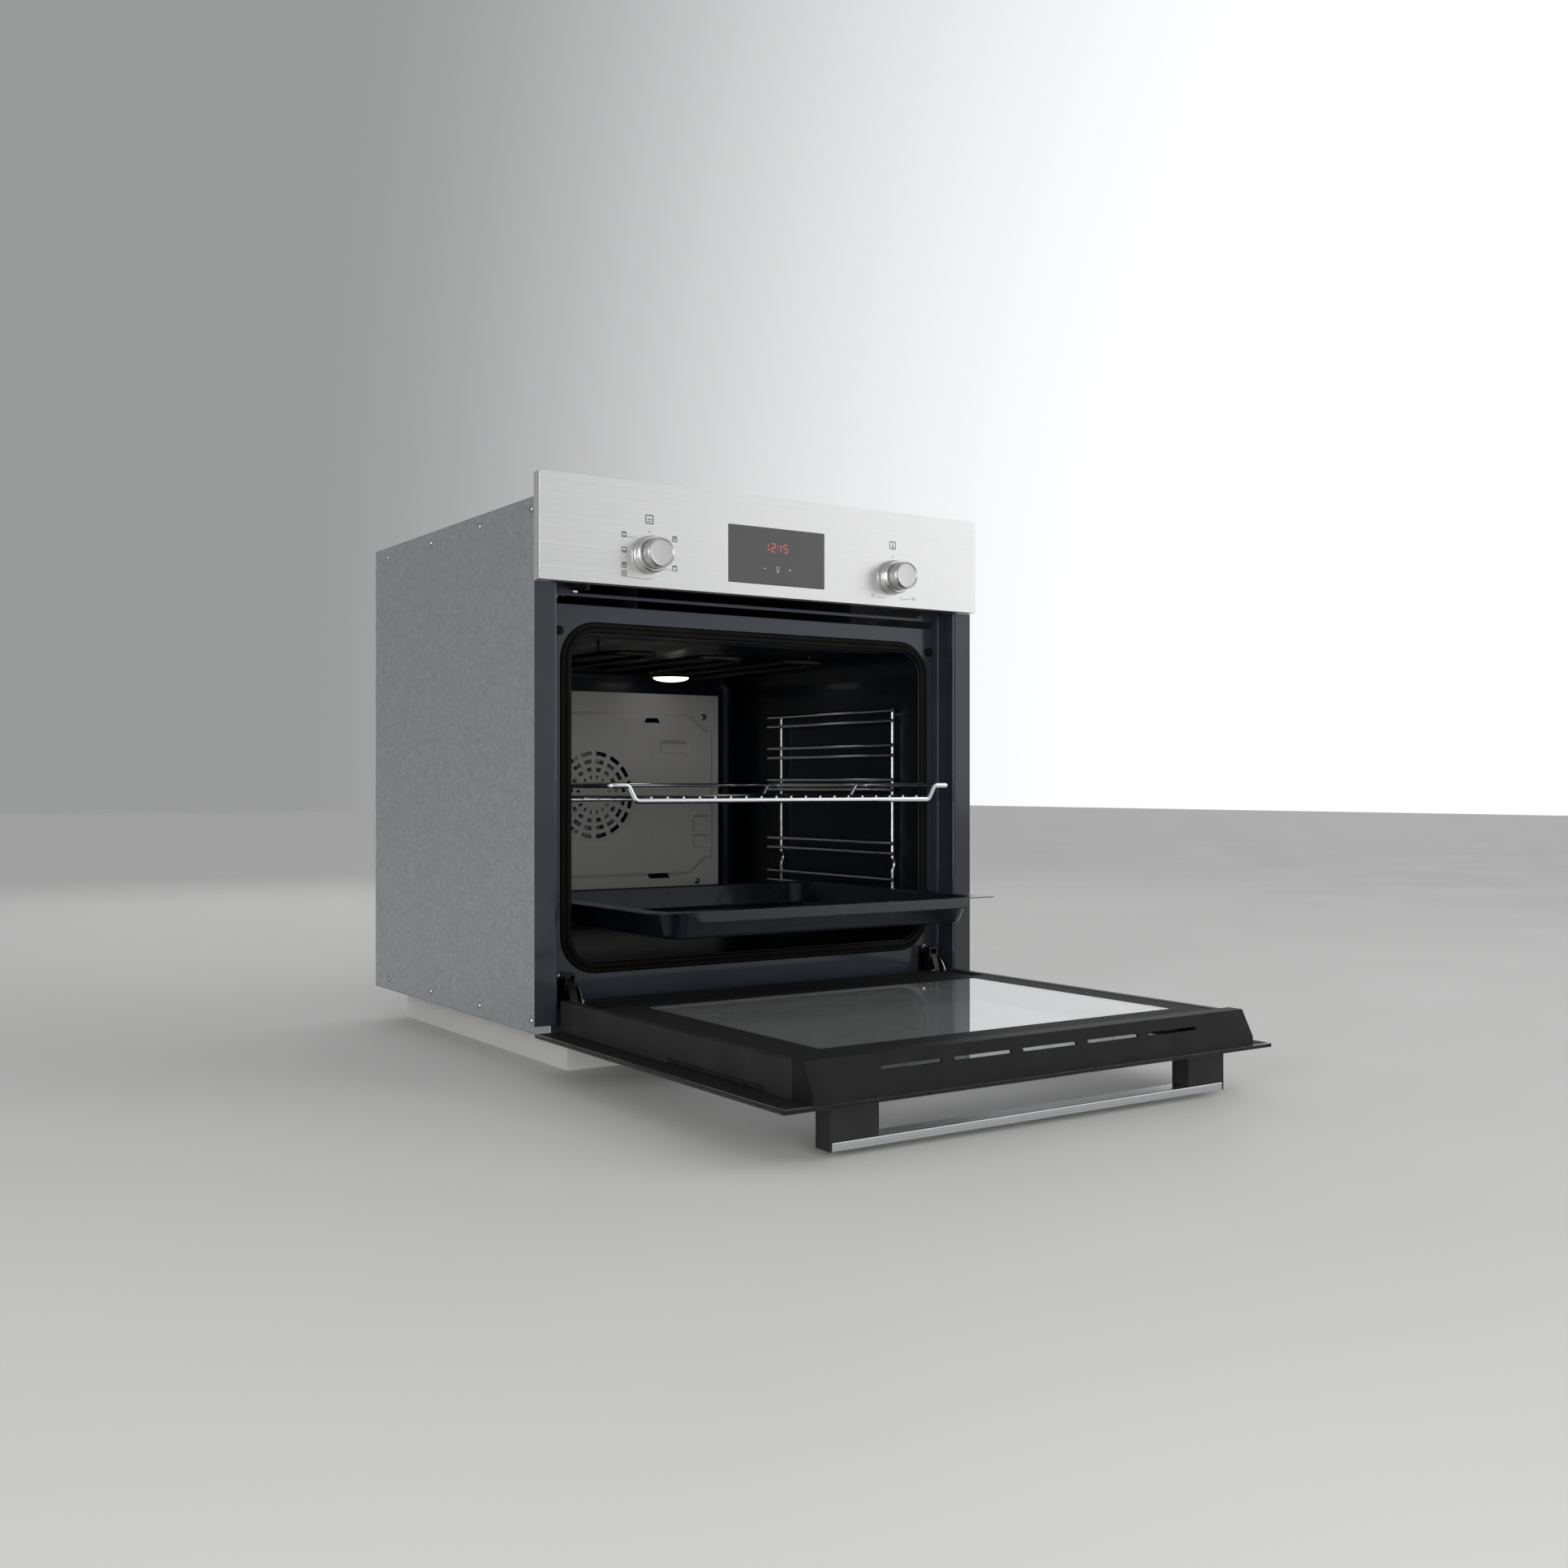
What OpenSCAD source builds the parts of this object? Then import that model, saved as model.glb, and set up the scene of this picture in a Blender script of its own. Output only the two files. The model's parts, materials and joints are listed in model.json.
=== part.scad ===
// Built-in wall oven with its door open, the wire rack and the baking tray partly drawn out.
// Modules are written from the front datum: X across, Y into the oven from the fascia's face,
// Z up from the underside. placed() then moves the origin to the middle of the underside.

/* [Overall] */
// Width of the fascia and of the door glass
front_w = 594; // [480:1:720]
// Height from the underside to the top of the fascia
total_h = 595; // [500:1:720]
// Depth from the fascia's face to the rear panel
total_d = 548; // [530:1:680]

/* [Casing] */
// How far each fascia end overhangs the casing side
side_overhang = 19; // [17:1:24]
// Thickness of the casing sheets
casing_t = 1.2; // [0.8:0.1:1.6]
// Height of the casing's top below the fascia's top
top_step = 18.8; // [15:0.1:30]

/* [Front] */
// Height of the control fascia
fascia_h = 113.5; // [95:0.5:140]
// Sheet thickness of the fascia
fascia_t = 1.2; // [0.8:0.1:2]
// Depth of the fascia's folded edges
fascia_d = 13.5; // [10:0.5:18]
// Distance of the side trims' face behind the fascia's face
trim_y = 11.5; // [9:0.5:14]
// Width of a side trim's flange
trim_w = 26; // [24:0.5:30]
// Distance of the enamelled front frame behind the fascia's face
frame_y = 42; // [40:0.5:50]
// Radius of the holes for the cabinet screws
cabinet_screw_r = 2.25; // [1.8:0.05:3]

/* [Controls] */
// Distance of each knob from the middle
knob_x = 166.5; // [120:0.5:190]
// Height of the knob axes above the fascia's lower edge
knob_z = 35; // [28:0.5:70]
// Radius of a knob's pop-out cap
cap_r = 16; // [13:0.5:18]
// Radius of a knob's collar
collar_r = 20.5; // [19.5:0.5:26]
// How far a drawn-out cap stands in front of the fascia
cap_reach = 29; // [26:0.5:32]
// Width of the display glass
display_w = 131; // [80:1:150]
// Height of the display glass
display_h = 64; // [40:1:80]

/* [Cavity] */
// Distance from each end of the fascia to the inside of the cavity
cavity_inset = 57; // [54:1:75]
// Height of the cavity's floor above the underside
cavity_floor = 75; // [70:1:90]
// Distance from the cavity's ceiling to the top of the fascia
cavity_top_gap = 163; // [150:1:190]
// Distance from the cavity's back wall to the rear panel
cavity_back_gap = 60; // [56:1:80]
// Corner radius of the cavity
cavity_r = 30; // [20:1:40]
// Sheet thickness of the cavity
cavity_t = 1.2; // [0.8:0.1:2]
// Distance of the fan cover in front of the back wall
fan_cover_d = 31; // [28:1:40]
// Radius of the fan cover's grille
grille_r = 60; // [50:1:70]

/* [Shelves] */
// Height of the lowest shelf level above the cavity's floor
level_1 = 59; // [55:1:65]
// Height of the third shelf level above the cavity's floor
level_3 = 186; // [160:1:200]
// How far the tray stands out of its pushed-in place
tray_out = 178; // [100:1:190]
// How far the rack stands out of its pushed-in place
rack_out = 78; // [40:1:90]
// Depth of the tray
tray_h = 30; // [20:1:38]
// Diameter of the rack's frame wire
rack_wire = 6; // [4.5:0.1:7]

/* [Door] */
// Gap between the closed door and the fascia
door_gap = 4; // [3:0.5:6]
// Height of the closed door's lower edge
door_low = 11.5; // [10:0.5:14]
// Thickness of each door glass
glass_t = 4; // [3:0.5:5]
// Depth of the closed door from its outer face to its inner glass
door_d = 36; // [33:0.5:37]
// Distance of each hinge from the door's end
hinge_inset = 48; // [46:0.5:56]
// Length of the handle bar
handle_l = 478; // [300:1:480]
// Distance of the handle bar's face in front of the door
handle_reach = 39.5; // [32:0.5:50]

/* [Hidden] */
$fn = 48;

eps = 0.01;                    // overlap that makes a cut clean
gap = 0.4;                     // clearance between separate bodies
fit = 0.05;                    // radial clearance of a running fit
half = front_w / 2;            // half the front's width
body_half = half - side_overhang;
body_top = total_h - top_step;
fascia_low = total_h - fascia_h;
trim_in = half - trim_w;       // inner face of a side trim
trim_t = 2;                    // sheet of a side trim
trim_low = 15;                 // lower end of a side trim
trim_top = fascia_low - 0.5;
bush_x = half - 11.3;          // fixing bushes, from the middle
bush_z = fascia_low - 30.5;
bush_r = 7.4;
frame_t = 1.2;                 // sheet of the front frame
frame_top = fascia_low - 19;
outlet_low = frame_top + 9;      // lower edge of the air outlet's strip
outlet_lip = 4;                // height of that strip
frame_back = frame_y + frame_t;
base_front = frame_back;        // the base plate starts behind the front frame

knob_h = fascia_low + knob_z;
sleeve_wall = 1.5;
sleeve_in = cap_r + 0.35;      // a cap slides in its collar's sleeve
sleeve_r = sleeve_in + sleeve_wall;
sleeve_hole = sleeve_r + 0.5;
sleeve_end = 22;               // back end of a collar's sleeve
collar_front = -12.4;
cap_back = -4;
spindle_r = 3;
spindle_l = 22;
switch_w = 44;
carrier_t = 2;
carrier_y = fascia_d - carrier_t;
display_z = fascia_low + 14 + display_h / 2;

cav_half = half - cavity_inset;
cav_top = total_h - cavity_top_gap;
cav_mid = (cavity_floor + cav_top) / 2;
cav_h = cav_top - cavity_floor;
cav_back = total_d - cavity_back_gap;
cover_y = cav_back - fan_cover_d;        // front face of the fan cover
cover_half = cav_half - 36;
cover_h = cav_h - 71;
motor_hole = 12;
gasket_d = 5.2;
gasket_w = 12.5;

wire_d = 5;                              // shelf support wire
wire_x = cav_half - 11;                  // shelf wires, from the middle
post_x = wire_x + wire_d - 0.3;          // upright wires, welded to the shelf wires
post_front = frame_y + 45;
post_back = cav_back - 148;
pair_gap = 13;                           // between the two wires of a level
level_z = [for (h = [level_1, level_1 + 46, level_3, level_3 + 44, level_3 + 88])
  cavity_floor + h];                     // lower wire of each level

rail_x = post_x - (wire_d + rack_wire) / 2 - 0.6;  // rack side rails
rail_z = level_z[2] + (wire_d + rack_wire) / 2 + gap;
grid_drop = 16.5;                        // grid plane below the rails
rack_front = frame_y + 8 - rack_out;
rack_l = cover_y - frame_y - 28;
grid_wire = 3;
grid_n = 2 * floor((rail_x - 38) / 20) + 1;

tray_half = post_x - wire_d / 2 - 0.6;
tray_t = 1.4;
rim_z = level_z[0] + wire_d / 2 + gap;   // underside of the tray's rim
tray_front = frame_y + 10 - tray_out;
tray_l = cover_y - frame_y - 40;

hinge_x = half - hinge_inset;
hinge_y = 10;
hinge_z = door_low + 2;
hinge_r = 3;
door_top = fascia_low - door_gap;
frame_half = half - 29;                  // outer side of the door's side frames
frame_in = hinge_x + 9;                  // inner side of the door's side frames
cap_low = door_top - 30.7;               // where the door's top cap begins
inner_low = 85;                          // lower edge of the inner glasses
channel_in = 7.5;                        // inside of a hinge channel, from its middle
rail_half = hinge_x - channel_in - 2.5;  // bottom rail and middle glass, between the channels
handle_z = door_top - 25;                // middle of the handle bar, door closed
handle_w = 22;
bar_t = 8;
screw_x = [handle_l / 2 - 38, handle_l / 2 - 12];
screw_r = 4;                             // heads of the handle screws
base_mid = (base_front + total_d) / 2;

// Moves a module from the front datum to the part's own origin.
module placed() { translate([0, -base_mid, 0]) children(); }

// Swings a piece of the closed door to the open position.
module open() {
  translate([0, hinge_y, hinge_z]) rotate([90, 0, 0]) translate([0, -hinge_y, -hinge_z]) children();
}

// Rounded rectangle about the origin, with true arcs.
module rrect(w, h, r) {
  square([w - 2 * r, h], center = true);
  square([w, h - 2 * r], center = true);
  for (x = [-1, 1], z = [-1, 1]) translate([x * (w / 2 - r), z * (h / 2 - r)]) circle(r);
}

// Band of width t around a rounded rectangle.
module band(w, h, r, t) {
  difference() {
    rrect(w + 2 * t, h + 2 * t, r + t);
    rrect(w, h, r);
  }
}

// Extrudes an outline drawn in X and Z from y0 to y1.
module along_y(y0, y1) { translate([0, y1, 0]) rotate([90, 0, 0]) linear_extrude(y1 - y0) children(); }

// Extrudes an outline drawn in Y and Z from x0 to x1.
module along_x(x0, x1) { translate([x0, 0, 0]) rotate([90, 0, 90]) linear_extrude(x1 - x0) children(); }

// Box between two corners.
module block(low, high) { translate(low) cube(high - low); }

// The same shape on the right and on the left.
module both() {
  children();
  mirror([1, 0, 0]) children();
}

// Round bar along Y, X or Z from a point.
module bar_y(p, l, r) { translate(p) rotate([-90, 0, 0]) cylinder(h = l, r = r); }
module bar_x(p, l, r) { translate(p) rotate([0, 90, 0]) cylinder(h = l, r = r); }
module bar_z(p, l, r) { translate(p) cylinder(h = l, r = r); }

// Wire through a list of points, with a ball at each inner point.
module wire(points, d) {
  for (i = [0 : len(points) - 2]) {
    v = points[i + 1] - points[i];
    translate(points[i])
      rotate([0, acos(v[2] / norm(v)), atan2(v[1], v[0])]) cylinder(h = norm(v), d = d, $fn = 24);
  }
  for (i = [1 : len(points) - 2]) translate(points[i]) sphere(d = d + 0.3, $fn = 24);
}

// ---------------------------------------------------------------- casing

module base_plate() {
  color("silver") block([-body_half, base_front, 0], [body_half, total_d, casing_t]);
}

module side_panel() {
  color("silver")
    block([body_half - casing_t, fascia_d, casing_t], [body_half, total_d - casing_t, body_top]);
}

module rear_panel() {
  color("silver") difference() {
    block([-body_half, total_d - casing_t, casing_t], [body_half, total_d, body_top]);
    for (i = [-5 : 5])
      block([i * 16 - 4, total_d - casing_t - eps, body_top - 70],
        [i * 16 + 4, total_d + eps, body_top - 30]);
    bar_y([body_half - 70, total_d - 5, body_top - 85], 10, 10);
  }
}

module top_cover() {
  color("silver")
    block([-body_half, fascia_d + 6, body_top], [body_half, total_d, body_top + casing_t]);
}

// ---------------------------------------------------------------- front

module side_trim() {
  color("#3a3d42") difference() {
    union() {
      block([trim_in, trim_y, trim_low], [half, trim_y + trim_t, trim_top]);
      block([trim_in, trim_y, trim_low], [trim_in + trim_t, frame_back, trim_top]);
    }
    bar_y([bush_x, trim_y - 1, bush_z], trim_t + 2, bush_r);
  }
}

module fixing_bushes() {
  color("#0c0d0f") both() difference() {
    union() {
      bar_y([bush_x, trim_y, bush_z], trim_t, bush_r);
      bar_y([bush_x, trim_y - 0.8, bush_z], 0.8, bush_r + 0.6);
    }
    bar_y([bush_x, trim_y - 2, bush_z], trim_t + 4, cabinet_screw_r);
    bar_y([bush_x, trim_y - 2, bush_z], 2, cabinet_screw_r + 2.2);
  }
}

module front_frame() {
  slot_half = 5.5;
  color("#3a3d42") difference() {
    block([-trim_in, frame_y, 0], [trim_in, frame_back, frame_top]);
    along_y(frame_y - 1, frame_back + 1)
      translate([0, cav_mid]) rrect(2 * cav_half, cav_h, cavity_r);
    both() block([hinge_x - slot_half, frame_y - 1, hinge_z + 15],
      [hinge_x + slot_half, frame_back + 1, hinge_z + 48]);
  }
}

module door_gasket() {
  color("#1a1816") along_y(frame_y - gasket_d, frame_y) translate([0, cav_mid])
    band(2 * cav_half + 1, cav_h + 1, cavity_r, gasket_w);
}

module door_bumpers() {
  color("#0c0d0f") both() bar_y([cav_half + 14.9, door_d + 1, cav_top + 1.6],
    frame_y - door_d - 1, 5);
}

// The air outlet is the slot between this strip, its two end plates and the fascia.
module air_outlet_strip() {
  color("#3a3d42") block([-trim_in, frame_y, outlet_low], [trim_in, frame_back, outlet_low + outlet_lip]);
}

module air_outlet_ends() {
  slot_low = outlet_low + outlet_lip;
  color("#3a3d42") both() along_y(frame_y, frame_back) polygon([[trim_in - 36, slot_low],
    [trim_in, slot_low], [trim_in, slot_low + 18], [trim_in - 22, slot_low + 18],
    [trim_in - 22, slot_low + 8]]);
}

// ---------------------------------------------------------------- controls

module control_fascia() {
  mid = fascia_low + fascia_h / 2;
  edge_r = 2.5;
  color("#c9cacc") difference() {
    along_y(0, fascia_d) translate([0, mid]) rrect(front_w, fascia_h, edge_r);
    along_y(fascia_t, fascia_d + 1) translate([0, mid])
      rrect(front_w - 2 * fascia_t, fascia_h - 2 * fascia_t, edge_r - fascia_t);
    both() bar_y([knob_x, -1, knob_h], fascia_t + 2, sleeve_hole);
    along_y(-1, fascia_t + 1) translate([0, display_z])
      square([display_w + gap, display_h + gap], center = true);
  }
}

module panel_carrier() {
  mid = fascia_low + fascia_h / 2;
  color("#202224") difference() {
    along_y(carrier_y, fascia_d) translate([0, mid])
      rrect(front_w - 2 * fascia_t, fascia_h - 2 * fascia_t, 1.3);
    both() bar_y([knob_x, carrier_y - 1, knob_h], carrier_t + 2, sleeve_hole);
    along_y(carrier_y - 1, fascia_d + 1) translate([0, display_z])
      square([display_w - 6, display_h - 6], center = true);
  }
}

module display_glass() {
  color("#4c4e50") along_y(-0.3, 1.9) translate([0, display_z]) rrect(display_w, display_h, 1);
}

module display_module() {
  color("#1c5a3a") {
    along_y(1.9, 30) translate([0, display_z])
      square([display_w - 7, display_h - 7], center = true);
    along_y(fascia_d, fascia_d + 2) translate([0, display_z])
      square([display_w + 6, display_h + 6], center = true);
  }
}

module selector_body() {
  difference() {
    union() {
      bar_y([knob_x, fascia_d, knob_h], sleeve_end + 2 - fascia_d, sleeve_hole + 5);
      along_y(sleeve_end + 1, sleeve_end + 28) translate([knob_x, knob_h])
        rrect(switch_w, switch_w, 3);
    }
    bar_y([knob_x, fascia_d - 1, knob_h], sleeve_end + 2 - fascia_d, sleeve_hole);
    bar_y([knob_x, sleeve_end, knob_h], spindle_l + gap, spindle_r + fit);
  }
}

module function_switch() { color("#2d5f8a") mirror([1, 0, 0]) selector_body(); }

module thermostat() { color("#8a6a2d") selector_body(); }

module knob_collar() {
  color("#d4d5d7") difference() {
    union() {
      bar_y([knob_x, collar_front, knob_h], -collar_front - gap, collar_r);
      bar_y([knob_x, collar_front, knob_h], sleeve_end - collar_front, sleeve_r);
    }
    bar_y([knob_x, collar_front - 1, knob_h], sleeve_end - sleeve_wall - collar_front + 1, sleeve_in);
  }
}

module knob_cap() {
  color("#dcdddf") difference() {
    bar_y([knob_x, -cap_reach, knob_h], cap_reach + cap_back, cap_r);
    bar_y([knob_x, -cap_reach + 2, knob_h], cap_reach, cap_r - 2);
  }
}

module spindle() { color("#b09a50") bar_y([knob_x, sleeve_end, knob_h], spindle_l, spindle_r); }

// ---------------------------------------------------------------- cavity

module cavity_wrapper() {
  color("#1c222b") difference() {
    along_y(frame_back, cav_back) translate([0, cav_mid]) difference() {
      rrect(2 * (cav_half + cavity_t), cav_h + 2 * cavity_t, cavity_r + cavity_t);
      rrect(2 * cav_half, cav_h, cavity_r);
    }
    bar_z([lamp_x, lamp_y, cav_top - 1], cavity_t + 2, lamp_r);
  }
}

module cavity_back_wall() {
  color("#1c222b") difference() {
    along_y(cav_back, cav_back + cavity_t) translate([0, cav_mid])
      rrect(2 * (cav_half + cavity_t), cav_h + 2 * cavity_t, cavity_r + cavity_t);
    bar_y([0, cav_back - 1, cav_mid], cavity_t + 2, 8);
  }
}

module fan_cover() {
  hub_r = 15;
  slots = 24;
  color("#77736c") difference() {
    along_y(cover_y, cav_back) translate([0, cav_mid]) rrect(2 * cover_half, cover_h, 14);
    along_y(cover_y + cavity_t, cav_back + 1) translate([0, cav_mid])
      rrect(2 * (cover_half - cavity_t), cover_h - 2 * cavity_t, 14 - cavity_t);
    for (ring = [0 : 2], i = [0 : slots - 1]) if (ring > 0 || i % 2 == 0)
      translate([0, cover_y - 1, cav_mid]) rotate([0, (i + ring / 2) * 360 / slots, 0])
        block([-1.7, 0, hub_r + ring * (grille_r - hub_r) / 3 + 1.5],
          [1.7, cavity_t + 2, hub_r + (ring + 1) * (grille_r - hub_r) / 3 - 1.5]);
    for (x = [-1, 1], z = [-1, 1])
      block([x * (cover_half - 45) - 22, cover_y - 1, cav_mid + z * (cover_h / 2 - 20) - 3],
        [x * (cover_half - 45) + 22, cover_y + cavity_t + 1, cav_mid + z * (cover_h / 2 - 20) + 3]);
  }
}

module ring_heater() {
  heater_r = grille_r + 26;
  tube_r = 3.25;
  color("#6d5f55") {
    translate([0, cav_back - 14, cav_mid]) rotate([90, 0, 0])
      rotate_extrude() translate([heater_r, 0]) circle(tube_r);
    for (x = [-9, 9])
      bar_y([x, cav_back - 14, cav_mid - sqrt(heater_r ^ 2 - x ^ 2)], 14, tube_r - 0.4);
  }
}

grill_half = cav_half - 90;
grill_z = cav_top - 12;
grill_back = cav_back - 120;
module grill_element() {
  rows = 6;
  pitch = 2 * grill_half / (rows - 1);
  color("#4a4744") {
    wire([for (i = [0 : rows - 1], k = [0, 1])
      [-grill_half + i * pitch, (i + k) % 2 == 0 ? grill_back : frame_y + 70, grill_z]], 6.5);
    for (s = [-1, 1])
      wire([[s * grill_half, grill_back - 20, grill_z], [s * grill_half, cav_back, grill_z]], 6);
    for (y = [frame_y + 110, grill_back - 40], x = [-grill_half, grill_half])
      bar_z([x, y, grill_z], cav_top - grill_z, 1.6);
  }
}

module bottom_heater() {
  heat_z = cavity_floor - cavity_t - 3.25;
  heat_half = cav_half - 60;
  color("#6d5f55") wire([[-12, cav_back, heat_z], [-12, cav_back - 60, heat_z],
    [-heat_half, cav_back - 60, heat_z], [-heat_half, frame_y + 60, heat_z],
    [heat_half, frame_y + 60, heat_z], [heat_half, cav_back - 60, heat_z],
    [12, cav_back - 60, heat_z], [12, cav_back, heat_z]], 6.2);
  for (x = [-heat_half, heat_half], y = [frame_y + 120, cav_back - 120])
    color("#6d5f55") bar_z([x, y, heat_z], cavity_floor - cavity_t - heat_z, 2);
}

lamp_x = 92;
lamp_y = cav_back - 84;
lamp_r = 28;
module lamp_housing() {
  color("#b8b9ba") difference() {
    union() {
      bar_z([lamp_x, lamp_y, cav_top + cavity_t], 26, lamp_r + 4);
      bar_z([lamp_x, lamp_y, cav_top], cavity_t + 1, lamp_r);
    }
    bar_z([lamp_x, lamp_y, cav_top - 1], 25, lamp_r - 4);
  }
}

module lamp_lens() {
  dome_r = 48;
  drop = 22;
  color("#f4efe2") difference() {
    intersection() {
      translate([lamp_x, lamp_y, cav_top - drop + dome_r]) sphere(dome_r);
      bar_z([lamp_x, lamp_y, cav_top - drop], drop, lamp_r + 1.5);
    }
    intersection() {
      translate([lamp_x, lamp_y, cav_top - drop + dome_r]) sphere(dome_r - 3);
      bar_z([lamp_x, lamp_y, cav_top - drop], drop + 1, lamp_r - 4);
    }
  }
}

module temperature_sensor() {
  color("#9a9c9e") {
    bar_y([-cav_half + 70, cav_back - 70, cav_top - 14], 70, 2.5);
    bar_y([-cav_half + 70, cav_back - 3, cav_top - 14], 3, 7);
  }
}

module shelf_support() {
  kink_z = level_z[1] - 12;
  color("#b8babd") {
    for (y = [post_front, post_back])
      wire([[post_x, y, level_z[0] - 7], [post_x, y, kink_z - 9], [post_x + 3, y, kink_z - 4],
        [post_x + 3, y, kink_z + 1], [post_x, y, kink_z + 6], [post_x, y, level_z[4] + 15]], wire_d);
    for (z = level_z, up = [0, pair_gap])
      wire([[wire_x, post_front - 6, z + up], [wire_x, post_back + 27, z + up],
        [wire_x + 6, post_back + 36, z + up]], wire_d);
    for (y = [post_front, post_back], z = [level_z[0] - 2, level_z[4] + 8])
      bar_x([post_x, y, z], cav_half - post_x, 2);
  }
}

module insulation_blanket() {
  skin = 20;
  side = cav_half + cavity_t + gap;
  low = cavity_floor - cavity_t - 10;
  high = cav_top + cavity_t + gap;
  color("#d8cfa8") difference() {
    block([-side - skin, frame_back + 17, low - skin], [side + skin, cav_back + cavity_t + 16, high + 28]);
    block([-side, frame_back, low], [side, cav_back + cavity_t, high]);
    bar_z([lamp_x, lamp_y, cav_top], 60, lamp_r + 5);
    bar_y([0, cav_back, cav_mid], 30, motor_hole);
  }
}

module convection_motor() {
  front = cav_back + cavity_t;
  color("#8f9194") difference() {
    union() {
      bar_y([0, front, cav_mid], 20, motor_hole - 2);
      bar_y([0, front + 17, cav_mid], 34, 38);
    }
    bar_y([0, front - 1, cav_mid], 26, 4 + fit);
  }
}

module convection_impeller() {
  disc_y = cav_back - 7;
  blades = 12;
  color("#a8aaad") {
    bar_y([0, cav_back - 24, cav_mid], 46, 4);
    bar_y([0, disc_y - 1, cav_mid], 1, 64);
    for (i = [0 : blades - 1]) translate([0, 0, cav_mid]) rotate([0, i * 360 / blades, 0])
      block([-0.6, disc_y - 16, 34], [0.6, disc_y - 0.5, 62]);
  }
}

// ---------------------------------------------------------------- cooling

deck_z = frame_top + 1.5;
guide_half = 150;
guide_top = deck_z + 34;
blower_y = total_d - 150;
blower_half = 78;
module air_guide() {
  front = frame_y + 18;
  back = blower_y - blower_half;
  color("silver") {
    block([-body_half + casing_t, front, deck_z], [body_half - casing_t, total_d - casing_t, deck_z + 1.2]);
    block([-guide_half, front, guide_top - 1.2], [guide_half, back, guide_top]);
    both() block([guide_half - 1.2, front, deck_z + 1], [guide_half, back, guide_top]);
  }
}

module cooling_fan_housing() {
  low = deck_z + 1.2;
  high = low + 38;
  wall = 2;
  color("#aeb0b2") difference() {
    block([-blower_half, blower_y - blower_half, low], [blower_half, blower_y + blower_half, high]);
    bar_z([0, blower_y, low + wall], high - low - 2 * wall, 68);
    block([-66, blower_y - blower_half - 1, low + wall], [66, blower_y, high - wall]);
    bar_z([0, blower_y, high - wall - 1], wall + 2, 30);
  }
}

module cooling_impeller() {
  low = deck_z + 5;
  blades = 16;
  color("#3c3f42") {
    bar_z([0, blower_y, low], 44, 3);
    bar_z([0, blower_y, low], 1.2, 58);
    for (i = [0 : blades - 1]) translate([0, blower_y, 0]) rotate([0, 0, i * 360 / blades])
      block([36, -0.6, low + 1], [56, 0.6, low + 28]);
  }
}

module cooling_motor() {
  low = deck_z + 39.2;
  motor_h = 34;
  color("#8f9194") difference() {
    union() {
      bar_z([0, blower_y, low], motor_h, 36);
      for (a = [45 : 90 : 315]) translate([0, blower_y, 0]) rotate([0, 0, a])
        block([30, -7, low], [66, 7, low + 3]);
    }
    bar_z([0, blower_y, low - 1], 14, 3 + fit);
  }
}

module terminal_block() {
  x = body_half - 70;
  z = body_top - 85;
  color("#202224") difference() {
    block([x - 28, total_d - casing_t - 24, z - 20], [x + 28, total_d - casing_t, z + 20]);
    bar_y([x, total_d - casing_t - 14, z], 20, 6);
  }
}

// ---------------------------------------------------------------- hinges

lever_y = hinge_y + 18;
lever_z = hinge_z + 36.5;
arm_half = 4;
module hinge_arm() {
  y = hinge_y;
  z = hinge_z;
  color("#a3a5a8") {
    difference() {
      along_x(hinge_x - arm_half, hinge_x + arm_half) difference() {
        union() {
          polygon([[y - 2, z + 3], [y + 4, z - 3], [frame_y, z + 16], [frame_y + 16, z + 20],
            [frame_y + 16, z + 40], [frame_y, z + 46], [y + 14, z + 44], [y + 7, z + 30]]);
          translate([y, z]) circle(5);
        }
        translate([lever_y, lever_z]) circle(2 + fit);
      }
    }
    bar_x([hinge_x - 8.5, y, z], 17, hinge_r);
    for (x = [-9.5, 5.7]) block([hinge_x + x, frame_y - 1.2, z + 12], [hinge_x + x + 3.8, frame_y, z + 52]);
    block([hinge_x - 9, frame_y - 1.2, z + 43], [hinge_x + 9, frame_y, z + 52]);
  }
}

module hinge_lever() {
  r = 4.5;
  tip = 16;
  color("#c8cacc") {
    for (s = [-1, 1]) along_x(hinge_x + s * 5.25 - 0.95, hinge_x + s * 5.25 + 0.95) {
      translate([lever_y, lever_z]) circle(r);
      translate([lever_y - r, lever_z]) square([2 * r, tip]);
    }
    block([hinge_x - 6, lever_y - r, lever_z + tip - 2.5], [hinge_x + 6, lever_y + r, lever_z + tip]);
    bar_x([hinge_x - 6, lever_y, lever_z], 12, 2);
  }
}

module hinge_channels() {
  plate = 1.4;
  top = hinge_z + 190;
  color("#8f9194") open() both() {
    difference() {
      for (s = [-1, 1]) along_x(hinge_x + s * (channel_in + plate / 2) - plate / 2,
        hinge_x + s * (channel_in + plate / 2) + plate / 2) {
        translate([hinge_y, hinge_z]) circle(5.9);
        translate([hinge_y - 5.9, hinge_z]) square([25, top - hinge_z]);
      }
      bar_x([hinge_x - 12, hinge_y, hinge_z], 24, hinge_r + fit);
    }
    block([hinge_x - channel_in - 1, hinge_y - 5.9, hinge_z + 78],
      [hinge_x + channel_in + 1, hinge_y - 4.5, top]);
  }
}

module hinge_springs() {
  coil_r = 5.2;
  turns = 14;
  pitch = 5.2;
  color("#6f7275") open() both() {
    for (i = [0 : turns - 1]) translate([hinge_x, hinge_y + 2, hinge_z + 96 + i * pitch])
      rotate_extrude() translate([coil_r - 0.9, 0]) circle(1.2, $fn = 24);
    bar_z([hinge_x, hinge_y + 2, hinge_z + 84], turns * pitch + 24, 3.5);
    block([hinge_x - channel_in, hinge_y - 3, hinge_z + 82],
      [hinge_x + channel_in, hinge_y + 7, hinge_z + 86]);
  }
}

// ---------------------------------------------------------------- door

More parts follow.
